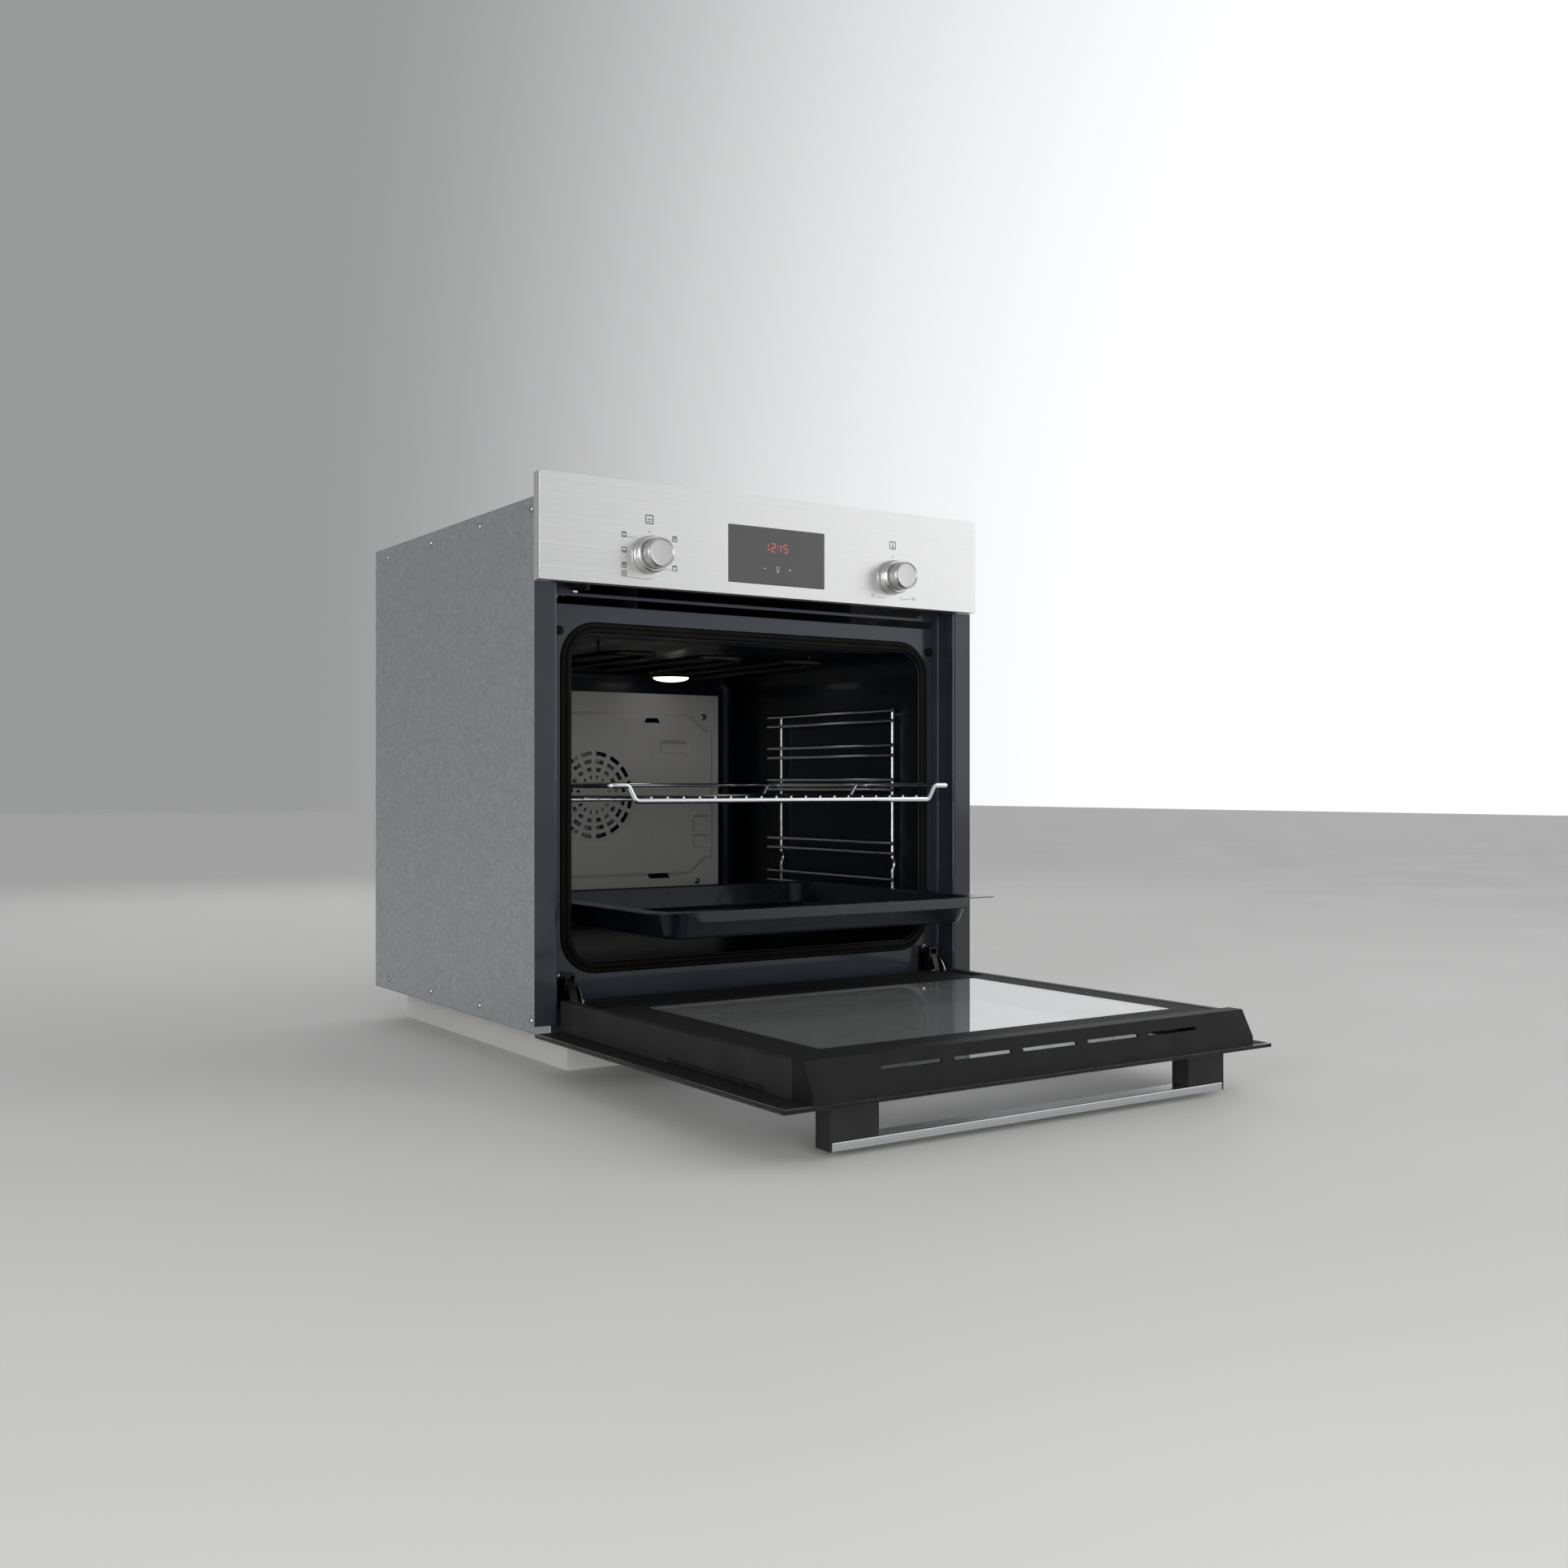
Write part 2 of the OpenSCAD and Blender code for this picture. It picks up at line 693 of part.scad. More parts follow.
module door_outer_glass() {
  color("#2a2c2e") open() along_y(0, glass_t) translate([0, (door_low + door_top) / 2])
    rrect(front_w, door_top - door_low, 2);
}

module door_middle_glass() {
  y = door_d / 2 - 1;
  color([0.6, 0.65, 0.65, 0.4])
    open() block([-rail_half, y, inner_low], [rail_half, y + glass_t - 1, cap_low - gap]);
}

module door_inner_glass() {
  color([0.5, 0.55, 0.55, 0.4]) open()
    block([-frame_in, door_d - glass_t, inner_low], [frame_in, door_d, cap_low - gap]);
}

module door_side_frame() {
  color("#242424") open() difference() {
    block([frame_in, glass_t, hinge_z + 0.5], [frame_half, door_d + 0.6, cap_low]);
    block([frame_half - 4, glass_t - eps, cap_low - 209], [frame_half + 1, glass_t + 5, cap_low - 42]);
  }
}

module door_top_cap() {
  top = door_top - 0.3;
  lip_top = door_top - 13.9;
  skin = 2.4;
  slot_l = 66;
  slot_pitch = 80;
  face_y = door_d + 2.75;
  slant = [0, (top - lip_top) / (face_y - 13.1)];
  color("#242424") open() difference() {
    along_x(-frame_half, frame_half) polygon([[glass_t, cap_low], [face_y, cap_low], [face_y, lip_top],
      [13.1, top], [glass_t, top]]);
    along_x(-frame_half + skin, frame_half - skin) polygon([[glass_t + skin, cap_low - 1],
      [face_y - skin, cap_low - 1], [face_y - skin, lip_top - 1.5], [13.1 - 0.6, top - skin],
      [glass_t + skin, top - skin]]);
    both() for (x = screw_x) bar_y([x, glass_t - 1, handle_z], skin + 2, screw_r + gap);
    for (i = [-2 : 2]) block([i * slot_pitch - slot_l / 2, 25.2, lip_top],
      [i * slot_pitch + slot_l / 2, 28.4, top + 1]);
  }
}

module door_bottom_rail() {
  skin = 2;
  color("#242424") open() difference() {
    block([-rail_half, glass_t, hinge_z + 0.5], [rail_half, door_d, inner_low - gap]);
    block([-rail_half + skin, glass_t + skin, hinge_z + 2.5],
      [rail_half - skin, door_d - skin, inner_low]);
  }
}

module handle_bar() {
  color("#c9cacc") open() block([-handle_l / 2, -handle_reach, handle_z - handle_w / 2],
    [handle_l / 2, -handle_reach + bar_t, handle_z + handle_w / 2]);
}

module handle_brackets() {
  foot = 49;
  wall = 2;
  half_l = handle_l / 2;
  color("#1c1d1e") open() both() {
    block([half_l - foot, -handle_reach + bar_t, handle_z - handle_w / 2],
      [half_l + wall, 0, handle_z + handle_w / 2]);
    block([half_l, -handle_reach, handle_z - handle_w / 2],
      [half_l + wall, -handle_reach + bar_t + 1, handle_z + handle_w / 2]);
  }
}

module handle_screws() {
  color("#b8babd") open() both() for (x = screw_x) bar_y([x, glass_t, handle_z], 3, screw_r);
}

// ---------------------------------------------------------------- shelves

module wire_rack() {
  front = rack_front;
  back = front + rack_l;
  low = rail_z - grid_drop;
  corner_x = rail_x - 20;
  low_x = corner_x - 9;
  cross_wire = rack_wire - 1.5;
  color("#c4c6c9") {
    both() {
      bar_y([rail_x, front + 8, rail_z], rack_l - 8, rack_wire / 2);
      rack_end([rail_x, front + 8, rail_z], [corner_x, front, rail_z], [low_x, front, low], rack_wire);
      for (y = [front + 158, back - 24])
        rack_end([rail_x, y, rail_z], [corner_x, y, rail_z], [low_x, y, low], cross_wire);
    }
    bar_x([-low_x, front, low], 2 * low_x, rack_wire / 2);
    bar_x([-rail_x, back - 4, rail_z], 2 * rail_x, rack_wire / 2 - 0.5);
    for (y = [front + 158, back - 24]) bar_x([-low_x, y, low], 2 * low_x, cross_wire / 2);
    for (i = [0 : grid_n - 1])
      bar_y([(i - (grid_n - 1) / 2) * 20, front - 0.5, low + 3.2], rack_l - 21, grid_wire / 2);
  }
}

// Wire from a side rail down to the grid's level, with a ball at each bend.
module rack_end(rail, corner, foot, d) {
  wire([rail, corner, foot], d);
  for (p = [rail, foot]) translate(p) sphere(d = d + 0.8, $fn = 24);
}

module baking_tray() {
  top = rim_z + tray_t;
  wall_half = tray_half - 26;
  lip = 8;
  slope = 10;
  mid_y = tray_front + lip + tray_l / 2;
  color("#141a22") {
    difference() {
      union() {
        tray_shell(wall_half, tray_l - 20, slope, top, rim_z + tray_t - tray_h, mid_y);
        translate([0, mid_y, rim_z]) linear_extrude(tray_t) rrect(2 * tray_half, tray_l, 12);
      }
      tray_shell(wall_half - tray_t, tray_l - 20 - 2 * tray_t, slope, top + 0.1,
        rim_z + 2 * tray_t - tray_h, mid_y);
    }
    along_x(-tray_half + 55, tray_half - 55) polygon([[tray_front + lip - 1, rim_z],
      [tray_front + lip + 3, rim_z], [tray_front + lip + 3, top], [tray_front + lip - 1, top],
      [tray_front - 0.5, rim_z - 8.5], [tray_front + 0.5, rim_z - 9.5]]);
  }
}

// Solid of a tapering pan, from the rim's plane to the bottom's.
module tray_shell(w, l, slope, top, bottom, mid_y) {
  hull() {
    translate([0, mid_y, top - 0.1]) linear_extrude(0.1) rrect(2 * w, l, 24, $fn = 32);
    translate([0, mid_y, bottom]) linear_extrude(0.1)
      rrect(2 * (w - slope), l - 2 * slope, 18, $fn = 32);
  }
}

placed() base_plate();
placed() mirror([1, 0, 0]) side_panel();  // side_panel_left
placed() side_panel();  // side_panel_right
placed() rear_panel();
placed() top_cover();
placed() mirror([1, 0, 0]) side_trim();  // side_trim_left
placed() side_trim();  // side_trim_right
placed() fixing_bushes();
placed() front_frame();
placed() door_gasket();
placed() door_bumpers();
placed() air_outlet_strip();
placed() air_outlet_ends();
placed() cavity_wrapper();
placed() cavity_back_wall();
placed() fan_cover();
placed() ring_heater();
placed() grill_element();
placed() bottom_heater();
placed() lamp_housing();
placed() lamp_lens();
placed() temperature_sensor();
placed() mirror([1, 0, 0]) shelf_support();  // shelf_support_left
placed() shelf_support();  // shelf_support_right
placed() insulation_blanket();
placed() convection_motor();
placed() convection_impeller();
placed() cooling_fan_housing();
placed() cooling_impeller();
placed() cooling_motor();
placed() air_guide();
placed() terminal_block();
placed() control_fascia();
placed() panel_carrier();
placed() display_glass();
placed() display_module();
placed() function_switch();
placed() thermostat();
placed() mirror([1, 0, 0]) knob_collar();  // function_knob_collar
placed() mirror([1, 0, 0]) knob_cap();  // function_knob_cap
placed() mirror([1, 0, 0]) spindle();  // function_spindle
placed() knob_collar();  // temperature_knob_collar
placed() knob_cap();  // temperature_knob_cap
placed() spindle();  // temperature_spindle
placed() both() hinge_arm();  // hinge_arms
placed() mirror([1, 0, 0]) hinge_lever();  // hinge_lever_left
placed() hinge_lever();  // hinge_lever_right
placed() hinge_channels();
placed() hinge_springs();
placed() door_outer_glass();
placed() door_middle_glass();
placed() door_inner_glass();
placed() mirror([1, 0, 0]) door_side_frame();  // door_side_frame_left
placed() door_side_frame();  // door_side_frame_right
placed() door_top_cap();
placed() door_bottom_rail();
placed() handle_bar();
placed() handle_brackets();
placed() handle_screws();
placed() wire_rack();
placed() baking_tray();
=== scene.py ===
"""Looks of the built-in wall oven: camera, light, materials and the detailed pieces around the CAD frame."""

import json
import math

import bmesh
import bpy
from mathutils import Matrix, Vector


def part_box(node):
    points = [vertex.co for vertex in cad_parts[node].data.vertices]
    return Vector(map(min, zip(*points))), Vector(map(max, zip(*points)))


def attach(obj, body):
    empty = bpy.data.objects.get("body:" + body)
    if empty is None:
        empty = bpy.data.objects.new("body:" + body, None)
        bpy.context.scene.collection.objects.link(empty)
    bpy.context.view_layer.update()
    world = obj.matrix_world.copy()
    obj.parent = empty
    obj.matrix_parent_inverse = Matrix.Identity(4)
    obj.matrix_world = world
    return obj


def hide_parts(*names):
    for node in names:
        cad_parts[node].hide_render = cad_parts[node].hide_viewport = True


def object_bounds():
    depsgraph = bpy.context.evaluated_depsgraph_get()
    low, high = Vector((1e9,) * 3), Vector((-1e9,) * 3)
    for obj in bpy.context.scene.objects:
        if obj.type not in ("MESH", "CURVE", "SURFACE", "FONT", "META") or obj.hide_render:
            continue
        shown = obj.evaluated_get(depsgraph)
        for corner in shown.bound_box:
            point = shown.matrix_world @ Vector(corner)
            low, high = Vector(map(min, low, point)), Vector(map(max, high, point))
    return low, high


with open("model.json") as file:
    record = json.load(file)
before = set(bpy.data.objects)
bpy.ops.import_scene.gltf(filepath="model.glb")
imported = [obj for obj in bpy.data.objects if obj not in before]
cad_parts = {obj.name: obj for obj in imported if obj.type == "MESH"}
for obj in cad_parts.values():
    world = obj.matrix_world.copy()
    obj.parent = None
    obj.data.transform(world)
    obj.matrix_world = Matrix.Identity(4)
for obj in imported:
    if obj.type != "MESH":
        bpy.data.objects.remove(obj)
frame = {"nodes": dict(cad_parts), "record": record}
CAD_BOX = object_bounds()
MM = 0.001


# ---- sizes, in millimetres from the front datum
def node_box(node):
    """Corners of a CAD node in millimetres: X across, Y into the oven from the fascia's face, Z up."""
    low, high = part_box(node)
    shift = Vector((0, FRONT, 0))
    return (low - shift) / MM, (high - shift) / MM


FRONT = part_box("control_fascia")[0].y
FASCIA_LOW, FASCIA_HIGH = node_box("control_fascia")
HALF = FASCIA_HIGH.x
FASCIA_Z = FASCIA_LOW.z
KNOB_LOW, KNOB_HIGH = node_box("temperature_knob_collar")
KNOB_X = (KNOB_LOW.x + KNOB_HIGH.x) / 2
KNOB_Z = (KNOB_LOW.z + KNOB_HIGH.z) / 2
COLLAR_R = (KNOB_HIGH.x - KNOB_LOW.x) / 2
COLLAR_Y = KNOB_LOW.y
CAP_LOW, CAP_HIGH = node_box("temperature_knob_cap")
CAP_R = (CAP_HIGH.x - CAP_LOW.x) / 2
DISPLAY_LOW = node_box("display_glass")[0]
FRAME_Y = node_box("front_frame")[0].y
TRIM_LOW, TRIM_HIGH = node_box("side_trim_right")
CAVITY_LOW, CAVITY_HIGH = node_box("cavity_wrapper")
SHEET = 1.2
CAV_HALF = CAVITY_HIGH.x - SHEET
CAV_FLOOR, CAV_TOP = CAVITY_LOW.z + SHEET, CAVITY_HIGH.z - SHEET
CAV_BACK = CAVITY_HIGH.y
CAV_MID = (CAV_FLOOR + CAV_TOP) / 2
CAV_R = 30
COVER_LOW, COVER_HIGH = node_box("fan_cover")
GASKET_LOW, GASKET_HIGH = node_box("door_gasket")
LENS_LOW, LENS_HIGH = node_box("lamp_lens")
RACK_LOW, RACK_HIGH = node_box("wire_rack")
TRAY_LOW, TRAY_HIGH = node_box("baking_tray")
POST_LOW, POST_HIGH = node_box("shelf_support_right")
GLASS_LOW, GLASS_HIGH = node_box("door_outer_glass")
INNER_LOW, INNER_HIGH = node_box("door_inner_glass")
CASE_HIGH = node_box("rear_panel")[1]
BODY_HALF = CASE_HIGH.x
BODY_BACK = CASE_HIGH.y
HINGE_X = HALF - 48
CHANNEL_X = HALF - 75
INNER_WINDOW = (-213, 226, -385, -79)
OUTER_WINDOW = (-215, 215, -384, -88)


# ---- materials
class Finish:
    """One node material. Patterns use object coordinates, which are metres in the shared frame."""

    def __init__(self, name, color, rough, metal=0.0, **sockets):
        self.material = bpy.data.materials.new(name)
        self.material.use_nodes = True
        self.tree = self.material.node_tree
        self.shader = self.tree.nodes["Principled BSDF"]
        self.set("Base Color", (*color, 1))
        self.set("Roughness", rough)
        self.set("Metallic", metal)
        for socket, value in sockets.items():
            self.set(socket.replace("_", " "), value)
        self.coords = self.add("ShaderNodeTexCoord").outputs["Object"]

    def set(self, socket, value):
        self.shader.inputs[socket].default_value = value

    def add(self, kind, **values):
        node = self.tree.nodes.new(kind)
        for key, value in values.items():
            if hasattr(node, key):
                setattr(node, key, value)
            else:
                node.inputs[key.replace("_", " ")].default_value = value
        return node

    def stretch(self, scale):
        node = self.add("ShaderNodeMapping")
        node.inputs["Scale"].default_value = scale
        self.tree.links.new(self.coords, node.inputs["Vector"])
        return node.outputs["Vector"]

    def noise(self, scale, detail=3.0, stretch=(1, 1, 1)):
        node = self.add("ShaderNodeTexNoise", Scale=scale, Detail=detail)
        self.tree.links.new(self.stretch(stretch), node.inputs["Vector"])
        return node.outputs["Fac"]

    def cells(self, scale, stretch=(1, 1, 1), output="Color"):
        node = self.add("ShaderNodeTexVoronoi", Scale=scale)
        self.tree.links.new(self.stretch(stretch), node.inputs["Vector"])
        return node.outputs[output]

    def between(self, pattern, low, high, start=0.3, end=0.7):
        """Maps a pattern's values from start to end onto low to high."""
        node = self.add("ShaderNodeMapRange")
        for key, value in zip(("From Min", "From Max", "To Min", "To Max"), (start, end, low, high)):
            node.inputs[key].default_value = value
        self.tree.links.new(pattern, node.inputs["Value"])
        return node.outputs["Result"]

    def vary_rough(self, pattern, low, high, start=0.3, end=0.7):
        self.tree.links.new(self.between(pattern, low, high, start, end), self.shader.inputs["Roughness"])
        return self

    def vary_color(self, pattern, dark, light, start=0.3, end=0.7):
        ramp = self.add("ShaderNodeValToRGB")
        ramp.color_ramp.elements[0].color = (*dark, 1)
        ramp.color_ramp.elements[1].color = (*light, 1)
        ramp.color_ramp.elements[0].position = start
        ramp.color_ramp.elements[1].position = end
        self.tree.links.new(pattern, ramp.inputs["Fac"])
        self.tree.links.new(ramp.outputs["Color"], self.shader.inputs["Base Color"])
        return self

    def bump(self, pattern, strength, distance=0.0002):
        node = self.add("ShaderNodeBump", Strength=strength, Distance=distance)
        self.tree.links.new(pattern, node.inputs["Height"])
        self.tree.links.new(node.outputs["Normal"], self.shader.inputs["Normal"])
        return self


def brushed(name, color, grain, rough=(0.24, 0.36), bump=0.10):
    """Stainless steel with its brushing along the axis where grain is smallest."""
    steel = Finish(name, color, rough[0], 1.0)
    lines = steel.noise(1.0, 2.0, grain)
    dark = tuple(c * 0.88 for c in color)
    steel.vary_rough(lines, *rough).vary_color(lines, dark, color)
    return steel.bump(lines, bump, 0.0001)


def enamel(name, dark, light, rough, gloss, speck=2600):
    """Baked enamel: gloss coat, slow colour drift, orange peel and fine specks."""
    coat = Finish(name, light, rough, 0.0, Coat_Weight=gloss, Coat_Roughness=0.08, Specular_IOR_Level=0.25)
    coat.vary_color(coat.noise(9.0, 4.0), dark, light)
    coat.vary_rough(coat.noise(speck, 1.0), rough * 0.85, rough * 1.2)
    return coat.bump(coat.noise(420.0, 2.0), 0.05)


def plastic(name, dark, light, rough, grain=2400, bump=0.16):
    """Moulded plastic with a fine spark-eroded grain."""
    moulded = Finish(name, light, rough, 0.0, Specular_IOR_Level=0.10)
    moulded.vary_color(moulded.noise(30.0, 4.0), dark, light)
    moulded.vary_rough(moulded.noise(grain / 3, 2.0), rough * 0.9, rough * 1.15)
    return moulded.bump(moulded.noise(grain, 2.0), bump, 0.0001)


def pane(name, tint, clear=1.0):
    """Float glass: lightly tinted, and with a trace of haze where it is less than clear."""
    glass = Finish(name, tint, 0.0, 0.0, Transmission_Weight=clear, IOR=1.46)
    glass.vary_color(glass.noise(4.0, 2.0), tuple(c * 0.97 for c in tint), tint)
    return glass


def glow(name, color, strength):
    lit = Finish(name, color, 0.4)
    lit.set("Emission Color", (*color, 1))
    lit.set("Emission Strength", strength)
    lit.vary_rough(lit.noise(300.0), 0.3, 0.5)
    return lit


def turned(name, color):
    """Satin metal turned on a lathe: rings across the depth of the knob."""
    metal = Finish(name, color, 0.26, 1.0)
    rings = metal.noise(1.0, 2.0, (60, 5200, 60))
    return metal.vary_rough(rings, 0.20, 0.34).bump(rings, 0.08, 0.0001)


def galvanised():
    """Zinc-coated sheet with its crystal spangle."""
    zinc = Finish("galvanised_sheet", (0.62, 0.63, 0.64), 0.36, 1.0)
    spangle = zinc.cells(240.0)
    zinc.vary_color(spangle, (0.47, 0.48, 0.49), (0.58, 0.59, 0.60), 0.1, 0.9)
    zinc.vary_rough(zinc.cells(240.0, output="Distance"), 0.38, 0.48, 0.0, 0.6)
    return zinc.bump(zinc.noise(700.0, 3.0), 0.08)


def wool():
    """Yellow glass wool."""
    mat = Finish("insulation_wool", (0.72, 0.62, 0.36), 0.95, 0.0, Sheen_Weight=0.3)
    mat.vary_color(mat.noise(160.0, 6.0, (1, 1, 3)), (0.55, 0.45, 0.22), (0.80, 0.72, 0.48))
    return mat.bump(mat.noise(300.0, 6.0), 0.9, 0.002)


STEEL = brushed("brushed_steel", (0.86, 0.86, 0.855), (1.6, 60, 2300), (0.27, 0.40))
STEEL_BAR = brushed("brushed_bar", (0.64, 0.65, 0.66), (2.0, 1900, 1900), (0.20, 0.32))
KNOB = turned("knob_metal", (0.70, 0.70, 0.695))
KNOB_FACE = brushed("knob_face", (0.67, 0.67, 0.665), (30, 60, 2600), (0.26, 0.38))
CHROME = Finish("chrome_wire", (0.80, 0.81, 0.83), 0.12, 1.0)
CHROME.vary_rough(CHROME.noise(900.0), 0.08, 0.2).bump(CHROME.noise(250.0), 0.04)
ZINC = Finish("hinge_steel", (0.50, 0.51, 0.52), 0.3, 1.0)
ZINC.vary_rough(ZINC.noise(260.0, 4.0), 0.2, 0.42).vary_color(
    ZINC.noise(120.0, 3.0), (0.34, 0.345, 0.35), (0.58, 0.585, 0.59)).bump(ZINC.noise(900.0), 0.1)
GALVANISED = galvanised()
FRONT_ENAMEL = enamel("front_enamel", (0.015, 0.019, 0.026), (0.021, 0.026, 0.035), 0.32, 0.6)
CAVITY_ENAMEL = enamel("cavity_enamel", (0.0012, 0.0022, 0.0045), (0.0022, 0.0036, 0.0070), 0.34, 0.06)
TRAY_ENAMEL = enamel("tray_enamel", (0.0022, 0.0034, 0.0060), (0.0038, 0.0054, 0.0090), 0.28, 0.26)
COVER_COAT = Finish("fan_cover_coating", (0.29, 0.288, 0.28), 0.55)
COVER_COAT.vary_color(COVER_COAT.noise(1500.0, 3.0), (0.255, 0.253, 0.246), (0.325, 0.322, 0.314), 0.25, 0.75)
COVER_COAT.vary_rough(COVER_COAT.noise(60.0), 0.5, 0.62).bump(COVER_COAT.noise(1900.0), 0.2)
RUBBER = plastic("black_rubber", (0.0030, 0.0027, 0.0025), (0.0060, 0.0054, 0.0048), 0.5, 1200, 0.3)
PLASTIC = plastic("black_plastic", (0.0085, 0.0085, 0.0087), (0.0125, 0.0125, 0.0128), 0.5)
BRACKET = plastic("bracket_plastic", (0.019, 0.019, 0.0195), (0.026, 0.026, 0.0265), 0.45)
DISPLAY = Finish("display_glass", (0.050, 0.050, 0.051), 0.12, 0.0, Coat_Weight=0.4, Coat_Roughness=0.02)
DISPLAY.vary_color(DISPLAY.noise(12.0), (0.046, 0.046, 0.047), (0.053, 0.053, 0.054))
DIGITS = glow("display_digits", (0.62, 0.10, 0.09), 0.35)
SYMBOLS = glow("display_symbols", (0.55, 0.55, 0.55), 0.15)
PRINT = Finish("panel_print", (0.013, 0.013, 0.014), 0.55)
PRINT.vary_rough(PRINT.noise(500.0), 0.4, 0.6)
FRIT = Finish("glass_print", (0.0185, 0.0185, 0.0185), 0.5, 0.0, Specular_IOR_Level=0.02)
FRIT.vary_rough(FRIT.noise(200.0), 0.45, 0.55)
GLASS_CLEAR = pane("door_glass_clear", (0.90, 0.92, 0.92))
GLASS_HAZED = pane("inner_glass", (0.84, 0.85, 0.85), 0.93)
GLASS_DARK = pane("door_glass_dark", (0.78, 0.80, 0.80))
LAMP_GLASS = glow("lamp_glass", (1.0, 0.97, 0.92), 2.2)
LAMP_METAL = Finish("lamp_metal", (0.55, 0.55, 0.56), 0.3, 1.0)
LAMP_METAL.vary_rough(LAMP_METAL.noise(200.0), 0.22, 0.4).bump(LAMP_METAL.noise(500.0), 0.1)
HEATER = Finish("heater_steel", (0.040, 0.038, 0.038), 0.5, 1.0)
HEATER.vary_color(HEATER.noise(40.0, 5.0), (0.022, 0.021, 0.021), (0.060, 0.057, 0.055))
HEATER.vary_rough(HEATER.noise(600.0), 0.4, 0.65).bump(HEATER.noise(1400.0), 0.2)
BOARD = plastic("electronics", (0.010, 0.055, 0.030), (0.016, 0.080, 0.045), 0.45, 900)
BRASS = Finish("spindle_brass", (0.60, 0.48, 0.22), 0.25, 1.0)
BRASS.vary_rough(BRASS.noise(1.0, 2.0, (50, 3000, 50)), 0.2, 0.34)
WOOL = wool()
# Painted shade: near-black colour for the air guide, fan housing and panel carrier, which sit in shadow
# behind the vent slots, so that no light shows through the slots.
PAINTED_SHADE_DUCT = Finish("duct_painted_shade", (0.010, 0.010, 0.011), 0.7)
PAINTED_SHADE_DUCT.vary_rough(PAINTED_SHADE_DUCT.noise(200.0), 0.6, 0.8).bump(PAINTED_SHADE_DUCT.noise(500.0), 0.1)
OXIDE = Finish("blackened_steel", (0.045, 0.043, 0.038), 0.3, 1.0)
OXIDE.vary_rough(OXIDE.noise(420.0, 4.0), 0.18, 0.5).bump(OXIDE.noise(800.0), 0.3)

SLOTS = {
    "galvanised_sheet": GALVANISED, "front_enamel": FRONT_ENAMEL, "cavity_enamel": CAVITY_ENAMEL,
    "fan_cover_coating": COVER_COAT, "black_rubber": RUBBER, "black_plastic": PLASTIC,
    "heater_steel": HEATER, "lamp_metal": LAMP_METAL, "lamp_glass": LAMP_GLASS,
    "chrome_wire": CHROME, "insulation_wool": WOOL, "brushed_steel": STEEL,
    "display_glass": DISPLAY, "electronics": BOARD, "knob_metal": KNOB, "spindle_brass": BRASS,
    "hinge_steel": ZINC, "door_glass_dark": GLASS_DARK, "door_glass_clear": GLASS_CLEAR,
}
NODE_SLOT = {s["node"]: s["material_slot"] for s in frame["record"]["subparts"]}
NODE_BODY = {n: b for b, nodes in frame["record"]["behaviour"]["bodies"].items() for n in nodes}


# Painted shade: these parts get a near-black colour in place of their slot's finish, standing for the shadow
# behind the vent slots.
PAINTED_SHADE_FINISH = {"air_guide": PAINTED_SHADE_DUCT, "cooling_fan_housing": PAINTED_SHADE_DUCT, "panel_carrier": PAINTED_SHADE_DUCT}


def dress_cad_nodes():
    """Gives each CAD node the finish of its slot, or, for the parts behind the vent slots, a near-black
    painted shade.
    """
    for name, obj in frame["nodes"].items():
        obj.data.materials.clear()
        obj.data.materials.append(PAINTED_SHADE_FINISH.get(name, SLOTS[NODE_SLOT[name]]).material)
        obj.data.set_sharp_from_angle(angle=math.radians(30))


# ---- mesh helpers
def arc(centre, radius, start, end, steps):
    """Points of an arc in a plane, angles in degrees."""
    angles = [math.radians(start + (end - start) * i / steps) for i in range(steps + 1)]
    return [(centre[0] + radius * math.cos(a), centre[1] + radius * math.sin(a)) for a in angles]


def rounded_rect(half_w, half_h, radius, steps=8, centre=(0, 0)):
    """Outline of a rounded rectangle, anticlockwise."""
    radius = min(radius, half_w, half_h)
    points = []
    for quarter, (sx, sy) in enumerate(((1, 1), (-1, 1), (-1, -1), (1, -1))):
        corner = (centre[0] + sx * (half_w - radius), centre[1] + sy * (half_h - radius))
        points += arc(corner, radius, 90 * quarter, 90 * quarter + 90, steps)
    return points


def fillet(points, radius, steps=6):
    """Polyline in 3D with each inner corner rounded."""
    points = [Vector(p) for p in points]
    result = [points[0]]
    for before, corner, after in zip(points, points[1:], points[2:]):
        a, b = (before - corner), (after - corner)
        angle = a.angle(b)
        if angle > math.radians(178) or radius <= 0:
            result.append(corner)
            continue
        reach = min(radius / math.tan(angle / 2), a.length * 0.48, b.length * 0.48)
        start, end = corner + a.normalized() * reach, corner + b.normalized() * reach
        for i in range(steps + 1):
            t = i / steps
            result.append(start * (1 - t) ** 2 + corner * 2 * t * (1 - t) + end * t ** 2)
    return result + [points[-1]]


def finish_piece(obj, body, finish, replaces=(), smooth=35):
    """Material, body and shading of a new piece, and hiding of the nodes it replaces."""
    obj.data.materials.clear()
    obj.data.materials.append(finish.material)
    obj.data.shade_smooth()
    obj.data.set_sharp_from_angle(angle=math.radians(smooth))
    mod = obj.modifiers.new("flat_faces", "WEIGHTED_NORMAL")
    mod.keep_sharp = True
    mod.weight = 100
    applied(obj)
    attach(obj, body)
    if replaces:
        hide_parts(*replaces)
    return obj


def link(name, mesh):
    obj = bpy.data.objects.new(name, mesh)
    bpy.context.scene.collection.objects.link(obj)
    return obj


def applied(obj):
    """Bakes an object's modifiers into its mesh."""
    graph = bpy.context.evaluated_depsgraph_get()
    mesh = bpy.data.meshes.new_from_object(obj.evaluated_get(graph))
    obj.modifiers.clear()
    old, obj.data = obj.data, mesh
    if old.users == 0 and isinstance(old, bpy.types.Mesh):
        bpy.data.meshes.remove(old)
    return obj


